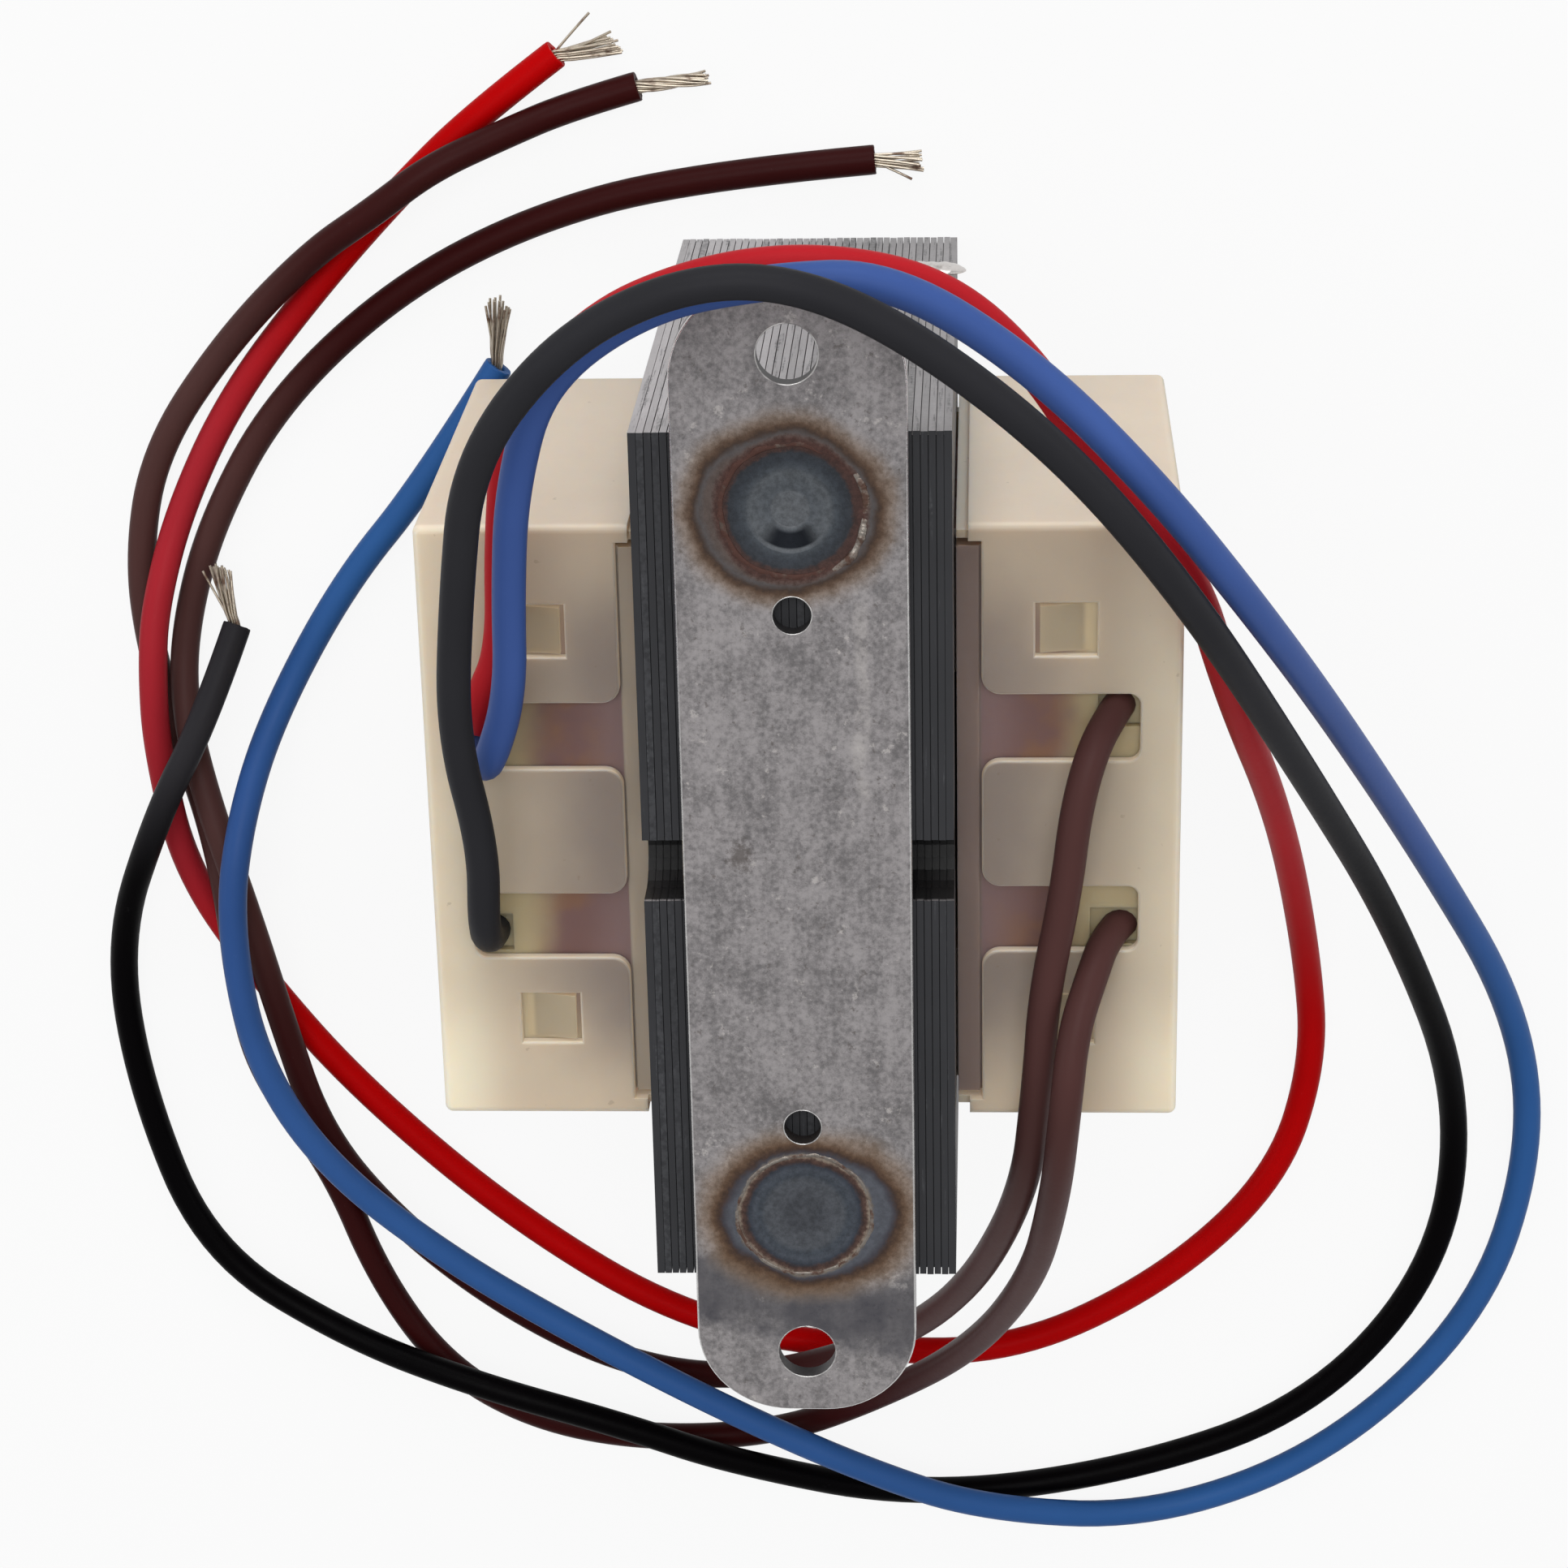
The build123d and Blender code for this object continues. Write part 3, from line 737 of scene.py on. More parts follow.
@dataclass(frozen=True)
class BobbinNylon:
    """The bobbin: the wound copper shows pink-brown through its flange; the strip beside the core has
    painted light on its left and painted shade on its right.
    """

    flange: Colour = (0.46, 0.375, 0.225)
    over_coil: Colour = (0.205, 0.113, 0.103)
    copper: Colour = (0.25, 0.132, 0.084)
    haze: Colour = (0.26, 0.17, 0.165)
    # Painted shade: colour of the strip beside the core on its right side.
    rim_painted_light: Colour = (0.25, 0.185, 0.162)
    wedge: Colour = (0.42, 0.35, 0.245)
    # Painted light: colour of the strip beside the core on its left side.
    rim_lit_side: Colour = (0.42, 0.35, 0.275)
    roughness: float = 0.38
    coil_fade_mm: Span = (-2.2, 1.6)
    haze_x_mm: Span = (15.0, 20.0)
    raised_mm: Span = (53.28, 53.4)
    rim_x_mm: Span = (15.2, 15.35)
    rim_z_mm: Span = (48.0, 50.0)
    middle_mm: Span = (-2.0, 2.0)
    latch_mm: Span = (22.4, 17.95)
    latch_half_mm: Span = (2.6, 2.75)
    latch_z_mm: Span = (53.0, 53.1)

    def build(self) -> Material:
        """Make the material.

        Returns:
            The finish of the bobbin.
        """
        graph = NodeGraph("bobbin_nylon")
        x, y, z = graph.axes()
        _, _, nz = graph.normal()
        cloud = graph.noise(0.14, 3.0, 0.5)
        patch = graph.noise(0.2, 3.0, 0.55, seed=8.0).rise(0.46, 0.62)
        hue = graph.mix(patch, self.over_coil, self.copper)
        hue = graph.mix(abs(x).fall(*self.haze_x_mm), hue, self.haze)
        colour = graph.mix(CoilShade().share(graph, self.coil_fade_mm, cloud), self.flange, hue)
        raised = z.rise(*self.raised_mm)
        colour = graph.mix(raised, colour, self.wedge)
        # Painted light and shade: the strip beside the core is lighter on the left and darker on the right,
        # where the core shades it.
        rim_painted_light = graph.mix(x.rise(*self.middle_mm), self.rim_lit_side, self.rim_painted_light)
        beside_core = abs(x).fall(*self.rim_x_mm) * z.rise(*self.rim_z_mm)
        colour = graph.shaded(graph.mix(beside_core, colour, rim_painted_light), 0.9 + 0.2 * cloud)
        # Painted light: the flange round each latch wedge, inside its window, gets the gap glow.
        across = abs(abs(x) - self.latch_mm[0]).fall(*self.latch_half_mm)
        along = abs(abs(y) - self.latch_mm[1]).fall(*self.latch_half_mm)
        gap = across * along * abs(nz - 0.5).rise(0.35, 0.42) * z.rise(*self.latch_z_mm)
        gap = gap * (1.0 - raised * nz.rise(0.5, 0.8))
        return Nylon().close(graph, colour, gap, self.roughness, cloud)


@dataclass(frozen=True)
class LeadInsulation:
    """Satin extruded plastic over a stranded conductor, with painted light by height: deeper in tone near
    the table, lighter higher up.
    """

    name: str
    colour: Colour
    # Painted shade: the colour near the table.
    shaded_low_colour: Colour
    dusty: Colour
    gloss: float = 0.07
    roughness: float = 0.42
    bump_mm: float = 0.02
    low_mm: float = 1.0
    high_mm: float = 30.0
    # Painted light: the colour the leads take towards the left, where sheen and shade on them differ.
    haze: Colour = (0.05, 0.05, 0.05)
    haze_x_mm: Span = (-62.0, -44.0)
    haze_y_mm: Span = (-44.0, -22.0)

    def build(self) -> Material:
        """Make the material.

        Returns:
            The finish of one lead's insulation.
        """
        graph = NodeGraph(self.name)
        x, y, z = graph.axes()
        soft = graph.noise(0.09, 3.0, 0.5)
        fine = graph.noise(2.4, 3.0, 0.6, seed=1.0)
        scuff = graph.noise(0.7, 4.0, 0.75, seed=3.0).rise(0.64, 0.76)
        # Painted light and shade: darker towards the table, lighter higher up.
        colour = graph.mix(z.rise(self.low_mm, self.high_mm), self.shaded_low_colour, self.colour)
        # Painted light: the leads take another tone towards the left, where sheen and shade on them differ.
        colour = graph.mix(x.fall(*self.haze_x_mm) * y.rise(*self.haze_y_mm), colour, self.haze)
        colour = graph.shaded(colour, 0.85 + 0.3 * soft)
        colour = graph.mix(scuff * fine.rise(0.4, 0.6) * 0.25, colour, self.dusty)
        return graph.surface(
            Base_Color=colour,
            Roughness=self.roughness + 0.16 * (fine - 0.5) + 0.12 * scuff,
            Specular_IOR_Level=self.gloss,
            Normal=graph.bump(fine * 0.6 + soft * 0.4, self.bump_mm, 0.7),
        )


@dataclass(frozen=True)
class BareMetal:
    """Bright or tarnished metal with a second tone in patches."""

    name: str
    bright: Colour
    tarnish: Colour
    per_mm: float
    tarnish_from: float
    roughness: float
    bump_mm: float

    def build(self) -> Material:
        """Make the material.

        Returns:
            The finish of one bare metal.
        """
        graph = NodeGraph(self.name)
        patch = graph.noise(self.per_mm, 3.0, 0.6)
        fine = graph.noise(self.per_mm * 5, 3.0, 0.6, seed=2.0)
        share = patch.rise(self.tarnish_from, self.tarnish_from + 0.2)
        colour = graph.shaded(graph.mix(share, self.bright, self.tarnish), 0.8 + 0.4 * fine)
        return graph.surface(
            Base_Color=colour,
            Metallic=0.95 - 0.4 * share,
            Roughness=self.roughness + 0.2 * share + 0.15 * (fine - 0.5),
            Normal=graph.bump(fine, self.bump_mm),
        )


class Metal(Enum):
    """The bare metal finishes."""

    WELD_BEAD = BareMetal(
        "weld_bead", (0.60, 0.57, 0.55), (0.17, 0.13, 0.11),
        per_mm=0.5, tarnish_from=0.52, roughness=0.30, bump_mm=0.05,
    )
    WELD_FLASH = BareMetal(
        "weld_flash", (0.25, 0.225, 0.200), (0.085, 0.045, 0.032),
        per_mm=0.9, tarnish_from=0.43, roughness=0.44, bump_mm=0.03,
    )
    RUSTED_FLASH = BareMetal(
        "rusted_flash", (0.11, 0.085, 0.072), (0.075, 0.032, 0.024),
        per_mm=0.8, tarnish_from=0.30, roughness=0.5, bump_mm=0.05,
    )
    HOLE_EDGE = BareMetal(
        "worn_hole_edge", (0.58, 0.57, 0.56), (0.22, 0.21, 0.21),
        per_mm=0.7, tarnish_from=0.46, roughness=0.30, bump_mm=0.01,
    )
    STRANDS = BareMetal(
        "tinned_strands", (0.50, 0.44, 0.36), (0.13, 0.07, 0.045),
        per_mm=0.6, tarnish_from=0.47, roughness=0.36, bump_mm=0.002,
    )


@dataclass(frozen=True)
class WoundLayer:
    """A winding or tape with turns that run round the bobbin."""

    name: str
    colour: Colour
    groove: Colour
    pitch_mm: float
    roughness: float

    def build(self) -> Material:
        """Make the material.

        Returns:
            The finish of one layer of the coil.
        """
        graph = NodeGraph(self.name)
        _, _, z = graph.axes()
        turn = graph.node("ShaderNodeMath", {"operation": "PINGPONG"}, {0: z, 1: self.pitch_mm / 2})
        turn = turn / (self.pitch_mm / 2)
        patch = graph.noise(0.2, 3.0, 0.6)
        colour = graph.mix(turn.fall(0.05, 0.5), self.colour, self.groove)
        return graph.surface(
            Base_Color=graph.shaded(colour, 0.8 + 0.4 * patch),
            Roughness=self.roughness + 0.15 * (patch - 0.5),
            Normal=graph.bump(turn, 0.1 * self.pitch_mm),
        )


class Winding(Enum):
    """The finishes of the coil's layers."""

    WIRE = WoundLayer(
        "enamelled_wire", (0.26, 0.085, 0.045), (0.05, 0.018, 0.012), pitch_mm=0.6, roughness=0.3
    )
    TAPE = WoundLayer("coil_tape", (0.20, 0.10, 0.085), (0.12, 0.06, 0.05), pitch_mm=11.0, roughness=0.4)
    WRAP = WoundLayer(
        "splice_wrap", (0.52, 0.42, 0.22), (0.34, 0.26, 0.13), pitch_mm=3.0, roughness=0.45
    )


@dataclass(frozen=True)
class StudioFloor:
    """Pale floor that the camera sees nearly white and that keeps a soft shadow."""

    albedo: Colour = (0.55, 0.55, 0.55)
    white_share: float = 0.90

    def build(self) -> Material:
        """Make the material.

        Returns:
            The finish of the floor.
        """
        graph = NodeGraph("studio_floor")
        path = graph.node("ShaderNodeLightPath").socket.node.outputs
        seen = Value(graph, path["Is Camera Ray"]) + Value(graph, path["Is Glossy Ray"])
        seen = seen + Value(graph, path["Is Transmission Ray"])
        matte = graph.node("ShaderNodeBsdfDiffuse", sockets={"Color": self.albedo})
        white = graph.node("ShaderNodeEmission", sockets={"Color": (1.0, 1.0, 1.0), "Strength": 1.0})
        sockets = {0: seen.rise(0.4, 0.6) * self.white_share, 1: matte, 2: white}
        graph.node_output(graph.node("ShaderNodeMixShader", sockets=sockets))
        return graph.material


def new_piece(name: str, data: bpy.types.ID, material: Material) -> bpy.types.Object:
    """Put a piece in the scene, on the transformer's body.

    Args:
        name: The piece's name.
        data: Its mesh or curve.
        material: Its finish.

    Returns:
        The object.
    """
    piece = bpy.data.objects.new(name, data)
    bpy.context.scene.collection.objects.link(piece)
    data.materials.append(material)
    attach(piece, BODY)
    LOG.info("piece %s", name)
    return piece


def dress(node: bpy.types.Object, material: Material) -> None:
    """Give a solid of the frame its finish.

    Args:
        node: The solid.
        material: Its finish.
    """
    node.data.materials.clear()
    node.data.materials.append(material)
    LOG.info("dressed %s", node.name)


def in_mm(box: tuple[Vector, Vector]) -> tuple[Vector, Vector]:
    """The low and high corner of a box, in millimetres."""
    low, high = box
    return low / MM, high / MM


def turns(count: int) -> list[float]:
    """Angles evenly round a circle, in radians."""
    return [2 * math.pi * step / count for step in range(count)]


def turned(profile: list[Span], turn: float, centre_y: float) -> list[Point]:
    """A profile turned about an upright axis.

    Args:
        profile: Its points, as distances from the axis and heights.
        turn: How far it is turned, in radians.
        centre_y: Where the axis stands, at x = 0.

    Returns:
        The points in space.
    """
    return [(out * math.cos(turn), centre_y + out * math.sin(turn), height) for out, height in profile]


class RingMesh:
    """A mesh that is skinned over rings of points, given in millimetres."""

    def __init__(self, name: str, smooth: bool) -> None:
        """Start an empty mesh.

        Args:
            name: The mesh's name.
            smooth: Whether its faces are shaded smooth.
        """
        self.name = name
        self.smooth = smooth
        self.builder = bmesh.new()

    def tube(self, rings: list[list[Point]], closed: bool = False) -> None:
        """Join each ring to the next one with quads.

        Args:
            rings: Rings with the same number of points.
            closed: Whether the last ring meets the first; otherwise both ends are capped.
        """
        made = [[self.builder.verts.new(Vector(point) * MM) for point in ring] for ring in rings]
        if closed:
            made.append(made[0])
        for ring, following in zip(made, made[1:]):
            for index in range(len(ring)):
                after = (index + 1) % len(ring)
                self.builder.faces.new((ring[index], ring[after], following[after], following[index]))
        if not closed:
            self.builder.faces.new(made[0])
            self.builder.faces.new(made[-1])

    def finished(self) -> Mesh:
        """The mesh, with its normals outwards.

        Returns:
            The mesh.
        """
        bmesh.ops.recalc_face_normals(self.builder, faces=self.builder.faces)
        mesh = bpy.data.meshes.new(self.name)
        self.builder.to_mesh(mesh)
        self.builder.free()
        for polygon in mesh.polygons:
            polygon.use_smooth = self.smooth
        return mesh


def round_curve(name: str, radius: float, bevel: int, steps: int) -> Curve:
    """An empty curve with a round section and closed ends.

    Args:
        name: The curve's name.
        radius: Its section's radius, in millimetres.
        bevel: How finely the section is rounded.
        steps: Steps between two points of a run.

    Returns:
        The curve.
    """
    curve = bpy.data.curves.new(name, "CURVE")
    curve.dimensions = "3D"
    curve.bevel_depth = radius * MM
    curve.bevel_resolution = bevel
    curve.resolution_u = steps
    curve.use_fill_caps = True
    return curve


def add_run(curve: Curve, points: "tuple[Point, ...] | list[Vector]") -> None:
    """Add one smooth open run to a curve, along control points in millimetres.

    Args:
        curve: The curve that gets the run.
        points: The control points, in order.
    """
    spline = curve.splines.new("NURBS")
    spline.points.add(len(points) - 1)
    for knot, point in zip(spline.points, points):
        knot.co = (*(Vector(point) * MM), 1.0)
    spline.order_u = 3
    spline.use_endpoint_u = True


@dataclass
class LaminatedCore:
    """The two sheet stacks and the weld beads that close their seam."""

    sheet_count: int = 41
    sheet_share: float = 0.88
    varnish_share: float = 0.2
    varnish_depth: float = 0.45
    centre_leg: float = 25.4
    window_width: float = 12.7
    yoke: float = 12.7
    notch_width: float = 5.5
    notch_depth: float = 5.6
    notch_steps: int = 8
    slip: float = 0.03
    bead_half_width: float = 1.6
    bead_height: float = 0.8
    bead_overrun: float = 0.9
    bead_blunt: float = 0.02
    bead_drift: float = 0.35
    bead_swell: float = 0.25
    bead_widening: float = 0.2
    ripple_pitch: float = 1.1
    ripple_lag: float = 0.9
    ripple_depth: float = 0.14
    bead_steps: int = 120
    bead_sides: int = 12
    dice: random.Random = field(default_factory=lambda: random.Random(41))

    def build(self) -> None:
        """Build and dress the core."""
        steel = SheetSteel().build()
        weld = Metal.WELD_BEAD.value.build()
        for name, node, outline in (
            ("e_sheet_stack", "e_laminations", self.e_outline()),
            ("i_sheet_stack", "i_laminations", self.i_outline()),
        ):
            stack = new_piece(name, self.stack_mesh(name, node, outline), steel)
            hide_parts(node)
        beads = new_piece("seam_weld_beads", self.bead_mesh(), weld)
        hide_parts("core_seam_welds")

    def e_outline(self) -> list[Span]:
        """One E sheet as (y, z) corners, in millimetres, with the notch in its back.

        Returns:
            The corners, in order round the sheet.
        """
        low, high = in_mm(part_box("e_laminations"))
        leg = self.centre_leg / 2
        window = leg + self.window_width
        crown = high.z - self.yoke
        half = self.notch_width / 2
        floor_z = high.z - self.notch_depth + half
        notch = []
        for step in range(self.notch_steps + 1):
            angle = math.pi * step / self.notch_steps
            notch.append((half * math.cos(angle), floor_z - half * math.sin(angle)))
        return [
            (low.y, low.z), (-window, low.z), (-window, crown), (-leg, crown), (-leg, low.z),
            (leg, low.z), (leg, crown), (window, crown), (window, low.z), (high.y, low.z),
            (high.y, high.z), (half, high.z), *notch, (-half, high.z), (low.y, high.z),
        ]

    def i_outline(self) -> list[Span]:
        """One I sheet as (y, z) corners, in millimetres."""
        low, high = in_mm(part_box("i_laminations"))
        return [(low.y, low.z), (high.y, low.z), (high.y, high.z), (low.y, high.z)]

    def stack_mesh(self, name: str, node: str, outline: list[Span]) -> Mesh:
        """All sheets of a stack, each slipped a little against its neighbours, with varnish between them.

        Args:
            name: The mesh's name.
            node: The solid whose place the stack takes.
            outline: One sheet's corners.

        Returns:
            The mesh.
        """
        low, high = in_mm(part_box(node))
        pitch = (high.x - low.x) / self.sheet_count
        film = pitch * self.varnish_share / 2
        z_mid = (low.z + high.z) / 2
        shrink_y = 1 - self.varnish_depth / high.y
        shrink_z = 1 - self.varnish_depth / (high.z - z_mid)
        inset = [(y * shrink_y, z_mid + (z - z_mid) * shrink_z) for y, z in outline]
        stack = RingMesh(name, smooth=False)
        for sheet in range(self.sheet_count):
            middle = low.x + (sheet + 0.5) * pitch
            half = pitch * self.sheet_share / 2
            if sheet in (0, self.sheet_count - 1):
                half = pitch / 2
            slip_y = self.dice.uniform(-self.slip, self.slip)
            drop = self.dice.uniform(0.0, self.slip) if low.z > 0 else 0.0
            slipped = [(y + slip_y, z - drop) for y, z in outline]
            stack.tube([[(x, y, z) for y, z in slipped] for x in (middle - half, middle + half)])
            if sheet:
                joint = low.x + sheet * pitch
                stack.tube([[(x, y, z) for y, z in inset] for x in (joint - film, joint + film)])
        return stack.finished()

    def bead_mesh(self) -> Mesh:
        """Both weld beads, rippled along the seam and swollen at their ends.

        Returns:
            One mesh for both beads.
        """
        low, high = in_mm(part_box("e_laminations"))
        start = low.x - self.bead_overrun / 2
        length = high.x - low.x + 1.5 * self.bead_overrun
        beads = RingMesh("seam_weld_beads", smooth=True)
        for face_y, outwards in ((low.y, -1.0), (high.y, 1.0)):
            rings = []
            for step in range(self.bead_steps + 1):
                share = step / self.bead_steps
                x = start + length * share
                close = min(share, 1 - share) * length
                taper = math.sqrt(min(1.0, close / self.bead_half_width + self.bead_blunt))
                drift = noise.noise(Vector((x * self.bead_drift, face_y, 0.0)))
                ring = []
                for side in range(self.bead_sides + 1):
                    angle = math.pi * side / self.bead_sides
                    lag = self.ripple_lag * math.cos(angle) ** 2
                    ripple = 0.5 + 0.5 * math.cos(2 * math.pi * (x + lag) / self.ripple_pitch)
                    swell = (1 + self.bead_swell * drift) * (1 - self.ripple_depth * (1 - ripple))
                    reach = self.bead_height * math.sin(angle) * taper * swell
                    across = self.bead_half_width * math.cos(angle) * taper
                    height = low.z + across * (1 + self.bead_widening * drift)
                    ring.append((x, face_y + outwards * reach, height))
                rings.append(ring)
            beads.tube(rings)
        return beads.finished()


@dataclass(frozen=True)
class WeldFlash:
    """Metal squeezed out round a weld: an arc of it, in degrees from the X axis."""

    name: str
    mark: WeldMark
    finish: Metal
    radius: float
    height: float
    half_width: float
    start_deg: float
    end_deg: float


@dataclass
class FootPlate:
    """The welded foot plate, with the metal that its welds pressed out and its worn hole edges."""

    flashes: tuple[WeldFlash, ...] = (
        WeldFlash("upper", UPPER_WELD, Metal.WELD_FLASH, 6.15, 0.20, 0.40, -58.0, 34.0),
        WeldFlash("upper_far", UPPER_WELD, Metal.RUSTED_FLASH, 5.60, 0.07, 0.28, 60.0, 300.0),
        WeldFlash("lower", LOWER_WELD, Metal.WELD_FLASH, 5.75, 0.06, 0.19, 0.0, 360.0),
    )
    flash_steps: int = 160
    section_sides: int = 8
    flash_sunk: float = 0.03
    flash_deepest: float = 0.12
    flash_wander: float = 0.20
    flash_rag: float = 0.10
    flash_mean: float = 0.7
    flash_least: float = 0.12
    flash_slimmest: float = 0.55
    wander_scale: float = 2.2
    rag_scale: float = 2.6
    end_taper: float = 6.0
    end_least: float = 0.1
    hole_edge: float = 0.06
    hole_edge_shift: float = 0.024
    hole_edge_sunk: float = 0.04
    hole_sides: int = 72
    mount_hole: Span = (2.5, 44.95)
    pilot_hole: Span = (1.6, 23.1)

    def build(self, nodes: Nodes) -> None:
        """Dress the plate, add the weld flash and the hole edges.

        Args:
            nodes: The frame's solids.
        """
        dress(nodes["mounting_plate"], GalvanisedPlate().build())
        finishes = {finish: finish.value.build() for finish in (Metal.WELD_FLASH, Metal.RUSTED_FLASH)}
        for flash in self.flashes:
            mesh = self.flash_mesh(flash)
            new_piece(f"weld_flash_{flash.name}", mesh, finishes[flash.finish])
        steel = Metal.HOLE_EDGE.value.build()
        new_piece("worn_hole_edges", self.hole_edge_mesh(), steel)

    def flash_mesh(self, flash: WeldFlash) -> Mesh:
        """A ragged arc of pressed-out metal round a weld.

        Args:
            flash: The arc's weld, size and angles.

        Returns:
            The mesh.
        """
        top = in_mm(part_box("mounting_plate"))[1].z
        closed = flash.end_deg - flash.start_deg >= 360.0
        rings = []
        for step in range(self.flash_steps + 1 - closed):
            share = step / self.flash_steps
            turn = math.radians(flash.start_deg + (flash.end_deg - flash.start_deg) * share)
            spot = Vector((math.cos(turn), math.sin(turn), 0.0)) * self.wander_scale
            spot.z = flash.mark.y_mm
            rough = noise.fractal(spot * self.rag_scale, 1.0, 2.0, 4)
            radius = flash.radius + self.flash_wander * noise.noise(spot) + self.flash_rag * rough
            ends = 1.0 if closed else min(1.0, self.end_taper * share, self.end_taper * (1 - share))
            swell = max(self.flash_least, self.flash_mean + rough)
            swell *= self.end_least + (1 - self.end_least) * ends
            width = flash.half_width * (self.flash_slimmest + (1 - self.flash_slimmest) * swell)
            profile = []
            for angle in turns(self.section_sides):
                out = radius + width * math.cos(angle)
                z = top - self.flash_sunk + flash.height * swell * math.sin(angle)
                profile.append((out, max(z, top - self.flash_deepest)))
            rings.append(turned(profile, turn, flash.mark.y_mm))
        ragged = RingMesh(f"weld_flash_{flash.name}", smooth=True)
        ragged.tube(rings, closed)
        return ragged.finished()

    def hole_edge_mesh(self) -> Mesh:
        """The bright broken edges round the four holes.

        Returns:
            One mesh for the four edges.
        """
        middle_z = in_mm(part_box("mounting_plate"))[1].z - self.hole_edge_sunk
        edges = RingMesh("worn_hole_edges", smooth=True)
        for radius, offset in (self.mount_hole, self.pilot_hole):
            profile = []
            for angle in turns(self.section_sides):
                out = radius + self.hole_edge_shift + self.hole_edge * math.cos(angle)
                profile.append((out, middle_z + self.hole_edge * math.sin(angle)))
            for centre_y in (offset, -offset):
                rings = [turned(profile, turn, centre_y) for turn in turns(self.hole_sides)]
                edges.tube(rings, closed=True)
        return edges.finished()


@dataclass
class WoundCoil:
    """The bobbin with its windings and tapes, and the two covers over their ends."""

    seat_half: float = 1.66
    seat_z: Span = (51.7, 52.5)
    seat_x: Span = (24.4, 29.4)

    def build(self, nodes: Nodes) -> None:
        """Dress every solid of the coil.

        Args:
            nodes: The frame's solids.
        """
        cover = CoverNylon().build()
        wire, tape, wrap = (layer.value.build() for layer in (Winding.WIRE, Winding.TAPE, Winding.WRAP))
        nylon = BobbinNylon().build()
        dress(nodes["bobbin"], nylon)
        new_piece("lead_seats", self.seat_mesh(), nylon)
        for finish, names in (
            (cover, ("left_cover", "right_cover")),
            (wire, ("primary_winding", "secondary_winding")),
            (tape, ("interwinding_tape", "outer_tape")),
            (wrap, tuple(name for name in nodes if name.startswith("splice_"))),
        ):
            for name in names:
                dress(nodes[name], finish)

    def seat_mesh(self) -> Mesh:
        """The thin webs of the bobbin that close its notches round the leads.

        Returns:
            One mesh for all the webs.
        """
        seats = RingMesh("lead_seats", smooth=False)
        for lead in LEADS:
            start_x, start_y, _ = lead.route[0]
            near, far = (math.copysign(reach, start_x) for reach in self.seat_x)
            low_y, high_y = start_y - self.seat_half, start_y + self.seat_half
            outline = ((near, low_y), (far, low_y), (far, high_y), (near, high_y))
            seats.tube([[(x, y, z) for x, y in outline] for z in self.seat_z])
        return seats.finished()


class Insulation(Enum):
    """The finishes of the leads."""

    BLACK = LeadInsulation(
        "black_insulation", (0.021, 0.021, 0.024), (0.0010, 0.0007, 0.0010), (0.04, 0.04, 0.04),
        gloss=0.03, low_mm=18.0, high_mm=55.0, haze=(0.022, 0.021, 0.024), haze_y_mm=(-26.0, -10.0),
    )
    BLUE = LeadInsulation(
        "blue_insulation", (0.040, 0.082, 0.258), (0.021, 0.082, 0.245), (0.10, 0.16, 0.36),
        haze=(0.022, 0.063, 0.200),
    )
    RED = LeadInsulation(
        "red_insulation", (0.40, 0.014, 0.020), (0.370, 0.0005, 0.001), (0.46, 0.05, 0.05),
        gloss=0.03, haze=(0.300, 0.016, 0.024),
    )
    BROWN = LeadInsulation(
        "brown_insulation", (0.066, 0.028, 0.026), (0.026, 0.003, 0.003), (0.13, 0.07, 0.065),
        gloss=0.05, haze=(0.060, 0.026, 0.024),
    )


@dataclass(frozen=True)
class StripFan:
    """How the stripped strands of a lead lie, in millimetres."""

    tip: Point
    spread: float
    twist_turns: float
    strays: tuple[Point, ...] = ()


@dataclass(frozen=True)
class Lead:
    """One flying lead: its finish, its length and its route from the splice to the bare end."""

    name: str
    insulation: Insulation
    length: float
    fan: StripFan
    route: tuple[Point, ...]


